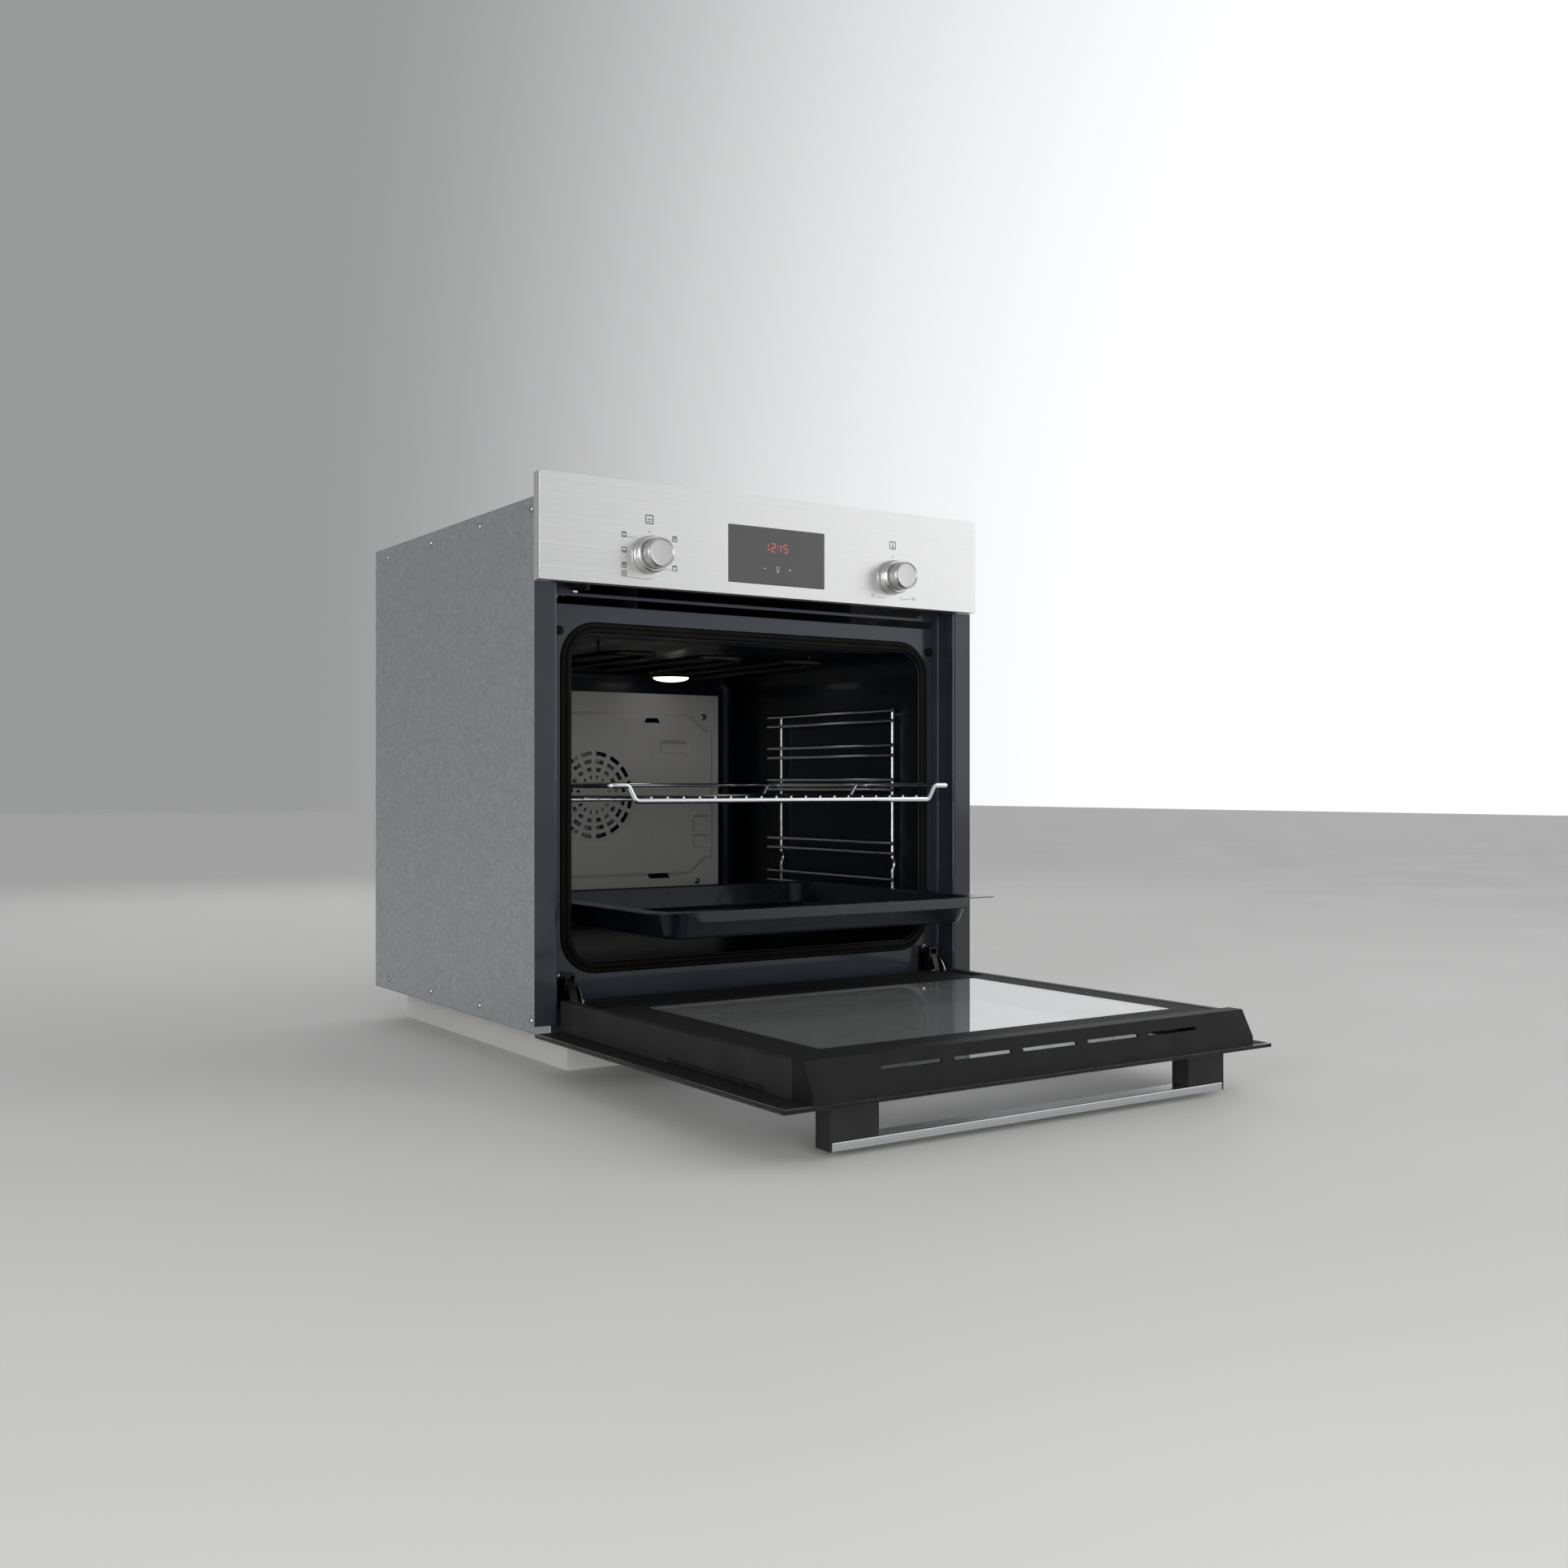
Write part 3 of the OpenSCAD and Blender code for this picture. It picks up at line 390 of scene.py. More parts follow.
def bevelled(obj, width, segments=2, angle=35):
    """Rounds an object's sharp edges, width in millimetres."""
    mod = obj.modifiers.new("edge", "BEVEL")
    mod.width = width * MM
    mod.segments = segments
    mod.limit_method = "ANGLE"
    mod.angle_limit = math.radians(angle)
    mod.harden_normals = False
    return applied(obj)


class Shape:
    """Collects solids for one piece, in millimetres from the front datum."""

    def __init__(self):
        self.bm = bmesh.new()

    def box(self, low, high):
        low, high = Vector(low), Vector(high)
        size, mid = high - low, (high + low) / 2
        matrix = Matrix.Translation(mid) @ Matrix.Diagonal((*size, 1))
        bmesh.ops.create_cube(self.bm, size=1, matrix=matrix)
        return self

    def prism(self, outline, plane, start, end):
        """Closed outline extruded from start to end along the axis that is missing in plane."""
        def point(p, depth):
            u, v = p
            return {"xz": (u, depth, v), "yz": (depth, u, v), "xy": (u, v, depth)}[plane]
        near = [self.bm.verts.new(point(p, start)) for p in outline]
        far = [self.bm.verts.new(point(p, end)) for p in outline]
        self.bm.faces.new(near)
        self.bm.faces.new(reversed(far))
        for i in range(len(outline)):
            k = (i + 1) % len(outline)
            self.bm.faces.new((near[k], near[i], far[i], far[k]))
        return self

    def loft(self, rings, close_start=True, close_end=True, loop=False):
        """Skin through rings of equal point counts."""
        rows = [[self.bm.verts.new(p) for p in ring] for ring in rings]
        pairs = list(zip(rows, rows[1:])) + ([(rows[-1], rows[0])] if loop else [])
        for a, b in pairs:
            for i in range(len(a)):
                k = (i + 1) % len(a)
                self.bm.faces.new((a[i], a[k], b[k], b[i]))
        if close_start and not loop:
            self.bm.faces.new(reversed(rows[0]))
        if close_end and not loop:
            self.bm.faces.new(rows[-1])
        return self

    def lathe(self, centre, axis, profile, sides=64):
        """Profile of (radius, distance along axis) turned about an axis through centre.

        A profile that starts on the axis makes a solid, and one that starts away from it a ring."""
        rings = []
        for radius, along in profile:
            ring = []
            for i in range(sides):
                a = 2 * math.pi * i / sides
                c, s = radius * math.cos(a), radius * math.sin(a)
                offset = {"x": (along, c, s), "y": (c, along, s), "z": (c, s, along)}[axis]
                ring.append(Vector(centre) + Vector(offset))
            rings.append(ring)
        return self.loft(rings, loop=profile[0][0] > 1)

    def piece(self, name, body, finish, slot, replaces=(), bevel=0.0, segments=2, smooth=35):
        bmesh.ops.scale(self.bm, vec=(MM, MM, MM), verts=self.bm.verts)
        bmesh.ops.translate(self.bm, vec=(0, FRONT, 0), verts=self.bm.verts)
        bmesh.ops.recalc_face_normals(self.bm, faces=self.bm.faces)
        mesh = bpy.data.meshes.new(name)
        self.bm.to_mesh(mesh)
        self.bm.free()
        obj = link(name, mesh)
        if bevel:
            bevelled(obj, bevel, segments)
        return finish_piece(obj, body, finish, replaces, smooth)


def softened(node, width, finish=None, segments=2):
    """A copy of a CAD node with its sharp edges rounded, which stands for the node."""
    source = frame["nodes"][node]
    bm = bmesh.new()
    bm.from_mesh(source.data)
    bmesh.ops.remove_doubles(bm, verts=bm.verts, dist=2e-6)
    bmesh.ops.dissolve_limit(bm, angle_limit=math.radians(0.2), verts=bm.verts, edges=bm.edges)
    mesh = bpy.data.meshes.new(node + "_soft")
    bm.to_mesh(mesh)
    bm.free()
    obj = bevelled(link(node + "_soft", mesh), width, segments)
    slot = NODE_SLOT[node]
    return finish_piece(obj, NODE_BODY[node], finish or SLOTS[slot], (node,))


def wires(name, body, finish, runs, replaces=()):
    """Round wires with bent corners. Each run is (points, diameter, bend radius), in millimetres."""
    curve = bpy.data.curves.new(name, "CURVE")
    curve.dimensions = "3D"
    curve.bevel_depth = MM
    curve.bevel_resolution = 4
    curve.use_fill_caps = True
    for points, diameter, bend in runs:
        path = fillet(points, bend)
        spline = curve.splines.new("POLY")
        spline.points.add(len(path) - 1)
        for target, p in zip(spline.points, path):
            target.co = (p.x * MM, p.y * MM + FRONT, p.z * MM, 1)
            target.radius = diameter / 2
    obj = link(name + "_path", curve)
    graph = bpy.context.evaluated_depsgraph_get()
    mesh = bpy.data.meshes.new_from_object(obj.evaluated_get(graph))
    bpy.data.objects.remove(obj)
    return finish_piece(link(name, mesh), body, finish, replaces, 50)


# ---- studio
def studio():
    """Camera, floor, plinth and soft light."""
    scene = bpy.context.scene
    scene.view_settings.view_transform = "Standard"
    camera = bpy.data.objects.new("camera", bpy.data.cameras.new("camera"))
    scene.collection.objects.link(camera)
    camera.location = (-0.998, FRONT - 1.496, 0.2685)
    camera.rotation_euler = (math.radians(90), 0, math.radians(-33.95))
    camera.data.lens = 36.15
    camera.data.sensor_width = 36
    camera.data.clip_start = 0.01
    scene.camera = camera

    floor_z = CAD_BOX[0][2] - 0.006
    pale = Finish("studio_floor", (0.63, 0.625, 0.615), 0.6)
    pale.vary_rough(pale.noise(3.0), 0.55, 0.7)
    for name, low, high in (("floor", (-14, -14, floor_z - 0.02), (14, 16, floor_z)),
                            ("plinth", (-0.24, FRONT + 0.05, floor_z), (0.24, FRONT + 0.53, 0))):
        bm = bmesh.new()
        size = Vector(high) - Vector(low)
        mid = (Vector(high) + Vector(low)) / 2
        bmesh.ops.create_cube(bm, size=1, matrix=Matrix.Translation(mid) @ Matrix.Diagonal((*size, 1)))
        mesh = bpy.data.meshes.new(name)
        bm.to_mesh(mesh)
        bm.free()
        mesh.materials.append(pale.material)
        link(name, mesh)

    world = bpy.data.worlds.new("studio")
    world.use_nodes = True
    nodes, links = world.node_tree.nodes, world.node_tree.links
    background = nodes["Background"]
    background.inputs["Color"].default_value = (0.95, 0.955, 0.965, 1)
    coords, split = nodes.new("ShaderNodeTexCoord"), nodes.new("ShaderNodeSeparateXYZ")
    both = nodes.new("ShaderNodeMath")
    both.operation = "MULTIPLY"
    links.new(coords.outputs["Generated"], split.inputs["Vector"])
    # The room is dim at the left and bright at the right, and a little dimmer behind.
    left_to_right, front_to_back = (0.28, 0.76, 0.46, 1.48), (-0.3, 0.3, 1.0, 0.74)
    for i, (side, kind, limits) in enumerate((("X", "SMOOTHSTEP", left_to_right),
                                              ("Y", "LINEAR", front_to_back))):
        ramp = nodes.new("ShaderNodeMapRange")
        ramp.interpolation_type = kind
        for key, value in zip(("From Min", "From Max", "To Min", "To Max"), limits):
            ramp.inputs[key].default_value = value
        links.new(split.outputs[side], ramp.inputs["Value"])
        links.new(ramp.outputs["Result"], both.inputs[i])
    links.new(both.outputs["Value"], background.inputs["Strength"])
    scene.world = world
    for name, place, target, size, power, mirrored in (
            ("key", (-2.5, -1.7, 0.75), (0, 0, 0.3), (0.5, 1.6), 22, True),
            ("fill", (2.2, -1.8, 1.4), (0, -0.2, 0.25), (1.6, 1.6), 8, False),
            ("front", (-0.7, -2.6, 0.5), (0.1, 0, 0.25), (1.4, 1.4), 24, False),
            ("back", (0.4, 2.4, 1.8), (0, 0.2, 0.3), (1.8, 1.8), 12, False)):
        light = bpy.data.lights.new(name, "AREA")
        light.shape = "RECTANGLE"
        light.size, light.size_y = size
        light.energy = power
        obj = bpy.data.objects.new(name, light)
        scene.collection.objects.link(obj)
        obj.visible_glossy = mirrored
        obj.location = place
        obj.rotation_euler = (Vector(target) - Vector(place)).to_track_quat("-Z", "Y").to_euler()


# ---- control panel
def strip(shape, start, end, width, y, thick=0.06):
    """Flat printed line in the fascia's plane, from start to end given as (x, z)."""
    a, b = Vector(start), Vector(end)
    side = (b - a).normalized().orthogonal() * width / 2
    corners = [a + side, b + side, b - side, a - side]
    shape.prism([tuple(c) for c in corners], "xz", y - thick, y)


def line_path(shape, points, width, y):
    for a, b in zip(points, points[1:]):
        strip(shape, a, b, width, y)


def dot(shape, x, z, radius, y, thick=0.06):
    shape.prism(arc((x, z), radius, 0, 345, 23), "xz", y - thick, y)


SEGMENTS = {"0": "abcdef", "1": "bc", "2": "abged", "5": "afgcd", "7": "abc"}


def digit(shape, character, x, z, w, h, width, y):
    """One seven-segment figure with its lower left corner at (x, z)."""
    cut = width * 0.6
    ends = {
        "a": ((x + cut, z + h), (x + w - cut, z + h)), "g": ((x + cut, z + h / 2), (x + w - cut, z + h / 2)),
        "d": ((x + cut, z), (x + w - cut, z)), "f": ((x, z + h / 2 + cut), (x, z + h - cut)),
        "b": ((x + w, z + h / 2 + cut), (x + w, z + h - cut)), "e": ((x, z + cut), (x, z + h / 2 - cut)),
        "c": ((x + w, z + cut), (x + w, z + h / 2 - cut)),
    }
    for segment in SEGMENTS[character]:
        strip(shape, *ends[segment], width, y)


def square_icon(shape, x, z, size, marks, y, width=0.6):
    """Small oven outline with one short bar for each mark: t top, b bottom, m middle, f fan."""
    h = size / 2
    corners = [(x - h, z - h), (x + h, z - h), (x + h, z + h), (x - h, z + h)]
    line_path(shape, corners + corners[:1], width, y)
    for mark in marks:
        if mark == "f":
            dot(shape, x, z, size * 0.18, y)
        else:
            level = {"t": 0.28, "m": 0.0, "b": -0.28}[mark] * size
            strip(shape, (x - h * 0.6, z + level), (x + h * 0.6, z + level), width, y)


def panel_print():
    """Printed symbols, leader lines and dots on the fascia."""
    y = FASCIA_LOW.y
    shape = Shape()
    left, right, base = -KNOB_X, KNOB_X, FASCIA_Z
    square_icon(shape, left, base + 73.5, 8.8, "m", y, 1.0)
    strip(shape, (left - 2.4, base + 71.2), (left + 2.4, base + 71.2), 0.6, y)
    for x, z, marks in ((left - 31, 54.8, "tb"), (left - 31, 38.4, "b"), (left - 31, 21.9, "tf"),
                        (left - 31, 12.9, "f"), (left + 31.5, 54.8, "tm"), (left + 31.5, 22.9, "t")):
        square_icon(shape, x, base + z, 5.2, marks, y, 0.85)
    for side, z, reach in ((-1, 54.8, 12), (1, 54.8, 12), (1, 22.9, 14)):
        start = left + side * 28
        line_path(shape, [(start, base + z - 2.4), (left + side * (28 - reach), base + z - 2.4)], 0.4, y)
    line_path(shape, [(left - 28, base + 9.5), (left - 4, base + 8.6), (left + 4, base + 9.6)], 0.4, y)
    dot(shape, left, base + 60, 0.75, y)

    square_icon(shape, right, base + 73.5, 8.4, "", y, 0.95)
    strip(shape, (right, base + 70.6), (right, base + 76.2), 0.95, y)
    dot(shape, right, base + 71.2, 1.1, y)
    dot(shape, right, base + 60, 0.75, y)
    for text, x in (("50", right - 31.8), ("250", right + 28.6)):
        for i, character in enumerate(text):
            digit(shape, character, x + i * 2.3, base + 9.9, 1.4, 2.8, 0.5, y)
    line_path(shape, [(right - 26, base + 10.4), (right - 13, base + 9.4), (right - 11, base + 11)], 0.4, y)
    line_path(shape, [(right + 26, base + 10.4), (right + 14, base + 9.4), (right + 11, base + 12.5)], 0.4, y)
    shape.piece("panel_symbols", "oven", PRINT, "black_plastic")


def display():
    """Clock figures and key symbols behind the display's face."""
    y = DISPLAY_LOW.y
    low_z = FASCIA_Z + 51.6
    digits = Shape()
    x = -12.4
    for character, step in (("1", 4.2), ("2", 9.4), (":", 3.4), ("1", 4.2), ("5", 9.4)):
        if character == ":":
            for z in (2.6, 6.4):
                dot(digits, x - 0.6, low_z + z, 0.55, y, 0.05)
        else:
            w = 0.0 if character == "1" else 5.2
            digit(digits, character, x, low_z, w, 9.0, 1.05, y)
        x += step
    digits.piece("display_digits", "oven", DIGITS, "display_glass")

    keys = Shape()
    z = FASCIA_Z + 31.8
    strip(keys, (-18.6, z), (-15.6, z), 0.5, y)
    strip(keys, (15.6, z + 0.4), (18.6, z + 0.4), 0.5, y)
    strip(keys, (17.1, z - 1.1), (17.1, z + 1.9), 0.5, y)
    line_path(keys, [(p[0], p[1]) for p in arc((0.6, z + 1.0), 1.9, -60, 240, 16)], 0.45, y)
    line_path(keys, [(-0.3, z - 0.8), (-0.3, z - 3.4), (1.5, z - 3.4), (1.5, z - 0.8)], 0.45, y)
    keys.piece("display_keys", "oven", SYMBOLS, "display_glass")


def knob(side, name):
    """Collar with a bright ring, and a pop-out cap with a dished face."""
    x = side * KNOB_X
    centre = (x, 0, KNOB_Z)
    front, r = COLLAR_Y, COLLAR_R
    sleeve = CAP_R + 0.35
    back = -0.4
    collar = Shape().lathe(centre, "y", [
        (sleeve, back), (r - 0.3, back), (r, back - 0.5), (r, -3.2), (r - 0.35, -3.5), (r - 0.35, -3.9),
        (r - 0.1, -4.3), (r - 0.75, front + 1.6), (r - 1.1, front + 0.7), (r - 1.9, front),
        (sleeve + 0.9, front), (sleeve + 0.7, front + 0.6), (sleeve, front + 0.7)], 96)
    collar.box((x - 0.5, front + 0.1, KNOB_Z + r - 2.3), (x + 0.5, front + 4, KNOB_Z + r - 0.9))
    collar.piece(name + "_knob_ring", name + "_selector", KNOB, "knob_metal", (name + "_knob_collar",))

    tip, r = CAP_LOW.y, CAP_R
    Shape().lathe(centre, "y", [
        (0.2, CAP_HIGH.y), (r - 0.2, CAP_HIGH.y), (r, CAP_HIGH.y - 0.3), (r, tip + 3.4),
        (r - 0.25, tip + 3.1), (r - 0.25, tip + 2.7), (r - 0.05, tip + 2.4), (r - 0.1, tip + 1.2),
        (r - 0.5, tip + 0.35), (r - 1.3, tip), (r - 2.0, tip + 0.15), (r - 2.5, tip + 0.7),
        (r - 3.4, tip + 0.9),
        (0.2, tip + 0.9)], 96).piece(
            name + "_knob_button", name + "_cap", KNOB_FACE, "knob_metal", (name + "_knob_cap",))


def control_panel():
    softened("control_fascia", 0.5)
    softened("display_glass", 0.25)
    panel_print()
    display()
    knob(-1, "function")
    knob(1, "temperature")


# ---- front
def folded_sheet(points, thick, bend):
    """Closed section of a bent sheet from its outer line, given as (x, y)."""
    line = [Vector((p.x, p.y)) for p in fillet([(x, y, 0) for x, y in points], bend, 8)]
    inner = []
    for i, p in enumerate(line):
        a, b = line[max(i - 1, 0)], line[min(i + 1, len(line) - 1)]
        direction = (b - a).normalized()
        inner.append(p + Vector((direction.y, -direction.x)) * thick)
    return [tuple(p) for p in line] + [tuple(p) for p in reversed(inner)]


def side_trims():
    """Enamelled trim at each side: a flange, a deep fold and a lip that laps the front frame."""
    low, high = TRIM_LOW, TRIM_HIGH
    for side, name in ((-1, "left"), (1, "right")):
        section = folded_sheet([(high.x - 0.02, low.y + 0.02), (low.x, low.y + 0.02), (low.x, FRAME_Y - 0.5),
                                (low.x - 9.5, FRAME_Y - 0.5)], -0.9, 3.2)
        section = [(side * x, y) for x, y in section]
        shape = Shape().prism(section, "xy", low.z, high.z)
        shape.piece("side_trim_sheet_" + name, "oven", FRONT_ENAMEL, "front_enamel", ("side_trim_" + name,))


def bushes():
    """Cabinet-screw bushes with their screw heads' seats."""
    low, high = node_box("fixing_bushes")
    z = (low.z + high.z) / 2
    r = (high.z - low.z) / 2
    centre_x = high.x - r
    shape = Shape()
    for side in (-1, 1):
        shape.lathe((side * centre_x, 0, z), "y", [
            (2.3, high.y), (r - 0.7, high.y), (r - 0.6, low.y + 1.0), (r, low.y + 0.9),
            (r - 0.25, low.y + 0.2), (r - 0.9, low.y), (5.0, low.y), (4.6, low.y + 0.4),
            (2.7, low.y + 2.1), (2.3, low.y + 2.2)], 40)
    shape.piece("cabinet_screw_bushes", "oven", RUBBER, "black_plastic", ("fixing_bushes",))


def bumpers():
    low, high = node_box("door_bumpers")
    r = (high.z - low.z) / 2
    shape = Shape()
    for side in (-1, 1):
        shape.lathe((side * (high.x - r), 0, (low.z + high.z) / 2), "y", [
            (0.3, high.y), (r, high.y), (r, low.y + 1.6), (r - 0.5, low.y + 0.6), (r - 1.6, low.y + 0.05),
            (0.3, low.y)], 36)
    shape.piece("door_buffers", "oven", RUBBER, "black_rubber", ("door_bumpers",))


def rect_ring(offset, y, steps=10):
    """Ring around the cavity mouth, offset outwards from the cavity's inner wall."""
    outline = rounded_rect(CAV_HALF + offset, (CAV_TOP - CAV_FLOOR) / 2 + offset, CAV_R + offset, steps)
    return [(x, y, CAV_MID + z) for x, z in outline]


def gasket():
    """Hollow rubber seal with a raised bead and a flat lip."""
    depth = FRAME_Y - GASKET_LOW.y
    width = GASKET_HIGH.x - CAV_HALF
    section = [(0.5, 0.0), (0.6, 0.35), (0.9, 0.72), (2.2, 0.98), (4.6, 1.0), (6.4, 0.86), (7.4, 0.55),
               (8.2, 0.42), (9.8, 0.5), (11.2, 0.44), (12.2, 0.25), (12.9, 0.0)]
    scale = width / 13.0
    rings = [rect_ring(u * scale, FRAME_Y - depth * v) for u, v in section]
    Shape().loft(rings, loop=True).piece(
        "door_seal", "oven", RUBBER, "black_rubber", ("door_gasket",), smooth=60)


def front_frame():
    softened("front_frame", 0.4)
    softened("air_outlet_strip", 0.4)
    softened("air_outlet_ends", 0.4)
    side_trims()
    bushes()
    bumpers()
    gasket()


# ---- cavity
def cavity_liner():
    """Drawn liner with a rolled mouth, rounded back edges and pressed wall beads."""
    t = SHEET
    back_r = 14
    profile = [(0.9, FRAME_Y + t + 0.05), (0.15, FRAME_Y + t + 1.2), (0, FRAME_Y + 4)]
    profile += [(u - back_r, v + CAV_BACK - back_r) for u, v in arc((0, 0), back_r, 0, 90, 8)]
    outer = [(t, CAV_BACK), (t, FRAME_Y + t + 0.05)]
    rings = [rect_ring(o, y, 12) for o, y in profile + outer]
    Shape().loft(rings, loop=True).piece(
        "cavity_liner", "oven", CAVITY_ENAMEL, "cavity_enamel", ("cavity_wrapper",), smooth=40)
    shape = Shape()
    for side in (-1, 1):
        for z in (CAV_FLOOR + 45, CAV_TOP - 42):
            outline = rounded_rect(150, 3.2, 3.2, 6, (FRAME_Y + 215, z))
            shape.prism(outline, "yz", side * (CAV_HALF - 0.8), side * (CAV_HALF + 0.3))
    for y in (FRAME_Y + 20, FRAME_Y + 34):
        outline = rounded_rect(CAV_HALF - 34, 2.6, 2.6, 6, (0, y))
        shape.prism(outline, "xy", CAV_TOP - 0.8, CAV_TOP + 0.3)
    shape.piece("cavity_beads", "oven", CAVITY_ENAMEL, "cavity_enamel", bevel=0.4)


def smooth_step(value, start, end):
    t = max(0.0, min(1.0, (value - start) / (end - start)))
    return t * t * (3 - 2 * t)


def rect_depth(x, z, cx, cz, half_w, half_h, radius, ramp):
    """1 inside a rounded rectangle, 0 outside, with a ramp at its edge."""
    dx, dz = abs(x - cx) - (half_w - radius), abs(z - cz) - (half_h - radius)
    outside = math.hypot(max(dx, 0), max(dz, 0)) + min(max(dx, dz), 0) - radius
    return 1 - smooth_step(outside, -ramp, 0)


def cover_relief(x, z, half, half_h):
    """How far the fan cover's sheet stands forward at a point: middle field, rim steps and recesses."""
    ax, az = abs(x), abs(z)
    step_x, step_z = half - 11.5, half_h - 30
    dip = 22 * smooth_step(ax, half - 56, half - 18)
    field = 1 - smooth_step(az, step_z - dip - 1.6, step_z - dip + 1.6)
    field *= 1 - smooth_step(ax, step_x - 1.6, step_x + 1.6)
    relief = 3.2 * field
    relief -= 0.8 * (1 - smooth_step(abs(ax - 95), 0, 1.6)) * (1 - smooth_step(az, 98, 101))
    for cx, cz, w, h in ((130, 67, 23, 9), (175, -42, 14, 12), (175, -67, 14, 9.5)):
        relief -= 4.2 * rect_depth(ax, z, cx, cz, w, h, 3, 2.4)
    radial = math.hypot(x, z)
    relief += 1.1 * (1 - smooth_step(radial, 62, 66)) * smooth_step(radial, 8, 14)
    return relief


def fan_cover():
    """Pressed fan cover: stepped field, recesses, corner slots, and a grille of arc slots."""
    half = COVER_HIGH.x
    half_h = (COVER_HIGH.z - COVER_LOW.z) / 2
    face = COVER_LOW.y + 4.4
    pitch = 2.0
    nx, nz = round(2 * half / pitch), round(2 * half_h / pitch)
    bm = bmesh.new()
    rows = []
    for k in range(nz + 1):
        row = []
        for i in range(nx + 1):
            x, z = -half + 2 * half * i / nx, -half_h + 2 * half_h * k / nz
            row.append(bm.verts.new((x, face - cover_relief(x, z, half, half_h), CAV_MID + z)))
        rows.append(row)
    for low, high in zip(rows, rows[1:]):
        for i in range(nx):
            bm.faces.new((low[i], low[i + 1], high[i + 1], high[i]))
    border = [e for e in bm.edges if e.is_boundary]
    grown = bmesh.ops.extrude_edge_only(bm, edges=border)["geom"]
    for v in grown:
        if isinstance(v, bmesh.types.BMVert):
            v.co.y = COVER_HIGH.y
    bmesh.ops.scale(bm, vec=(MM, MM, MM), verts=bm.verts)
    bmesh.ops.translate(bm, vec=(0, FRONT, 0), verts=bm.verts)
    mesh = bpy.data.meshes.new("fan_cover_sheet")
    bm.to_mesh(mesh)
    bm.free()
    obj = link("fan_cover_sheet", mesh)
    solid = obj.modifiers.new("sheet", "SOLIDIFY")
    solid.thickness = 0.9 * MM
    solid.offset = -1
    applied(obj)
    cutter = link("cutter", cover_slots(face))
    cut = obj.modifiers.new("slots", "BOOLEAN")
    cut.operation = "DIFFERENCE"
    cut.solver = "EXACT"
    cut.object = cutter
    applied(obj)
    bpy.data.objects.remove(cutter)
    finish_piece(obj, "oven", COVER_COAT, ("fan_cover",), 40)
    screws = Shape()
    for sx in (-1, 1):
        for inset, z in ((25, half_h - 31), (36, 18 - half_h)):
            screws.lathe((sx * (half - inset), 0, CAV_MID + z), "y", [
                (0.3, face + 0.4), (4.6, face + 0.4), (4.6, face - 0.8), (4.0, face - 1.5), (2.6, face - 1.9),
                (2.2, face - 1.2), (0.3, face - 1.2)], 24)
    screws.piece("fan_cover_screws", "oven", ZINC, "hinge_steel")


def arc_slot(shape, radius, width, start, end, y0, y1):
    """Bent slot: a band of an annulus between two angles in degrees."""
    outline = arc((0, CAV_MID), radius + width / 2, start, end, 5)
    outline += arc((0, CAV_MID), radius - width / 2, end, start, 5)
    shape.prism(outline, "xz", y0, y1)


def cover_slots(face):
    """Cutters of the fan cover's grille and corner slots."""
    shape = Shape()
    y0, y1 = face - 8, face + 8
    web = 3.2
    for radius, width in ((57.3, 5.8), (46.3, 5.8), (35.3, 5.4), (24.5, 5.0)):
        trim = math.degrees(web / radius)
        for i in range(16):
            arc_slot(shape, radius, width, i * 22.5 + trim, i * 22.5 + 22.5 - trim, y0, y1)
    for side in (-1, 1):
        for mid, half_w, half_h, z, slant in ((92.5, 11, 3.4, 105, -4), (104.5, 16.5, 3.6, -115.5, 5)):
            lean = abs(slant) / 2
            outline = [(mid - half_w - slant / 2, z + half_h), (mid - half_w + slant / 2, z - half_h),
                       (mid + half_w + lean, z - half_h), (mid + half_w - lean, z + half_h)]
            shape.prism([(side * x, CAV_MID + w) for x, w in outline], "xz", y0, y1)
    bmesh.ops.scale(shape.bm, vec=(MM, MM, MM), verts=shape.bm.verts)
    bmesh.ops.translate(shape.bm, vec=(0, FRONT, 0), verts=shape.bm.verts)
    bmesh.ops.recalc_face_normals(shape.bm, faces=shape.bm.faces)
    mesh = bpy.data.meshes.new("cutter")
    shape.bm.to_mesh(mesh)
    shape.bm.free()
    return mesh


def lamp():
    """Lit glass cap, shallow as a watch glass, below its dark enamelled collar."""
    x, y = (LENS_LOW.x + LENS_HIGH.x) / 2, (LENS_LOW.y + LENS_HIGH.y) / 2
    r = (LENS_HIGH.x - LENS_LOW.x) / 2
    top, low, rise, glass = LENS_HIGH.z, LENS_LOW.z, 5.5, 2.2
    pane_r = r - 5
    cap = [(max(pane_r * math.sin(a), 0.3), low + rise * (1 - math.cos(a))) for a in
           [math.radians(6 * i) for i in range(16)]]
    inner = [(max(p[0] - glass, 0.2), p[1] + glass) for p in reversed(cap)]
    rim = [(pane_r, low + rise + 3), (pane_r - glass, low + rise + 3)]
    Shape().lathe((x, y, 0), "z", cap + rim + inner, 64).piece(
        "lamp_dome", "oven", LAMP_GLASS, "lamp_glass", ("lamp_lens",), smooth=60)
    Shape().lathe((x, y, 0), "z", [
        (pane_r + 0.1, low + rise + 0.6), (r - 2.6, low + rise + 0.2), (r, low + rise + 2.5),
        (r + 2.2, top - 1.5), (r + 5.0, top - 0.6), (r + 5.0, top), (pane_r - 1, top),
        (pane_r - 1, low + rise + 3.2), (pane_r + 0.1, low + rise + 3.2)], 64).piece(
            "lamp_collar", "oven", CAVITY_ENAMEL, "cavity_enamel")


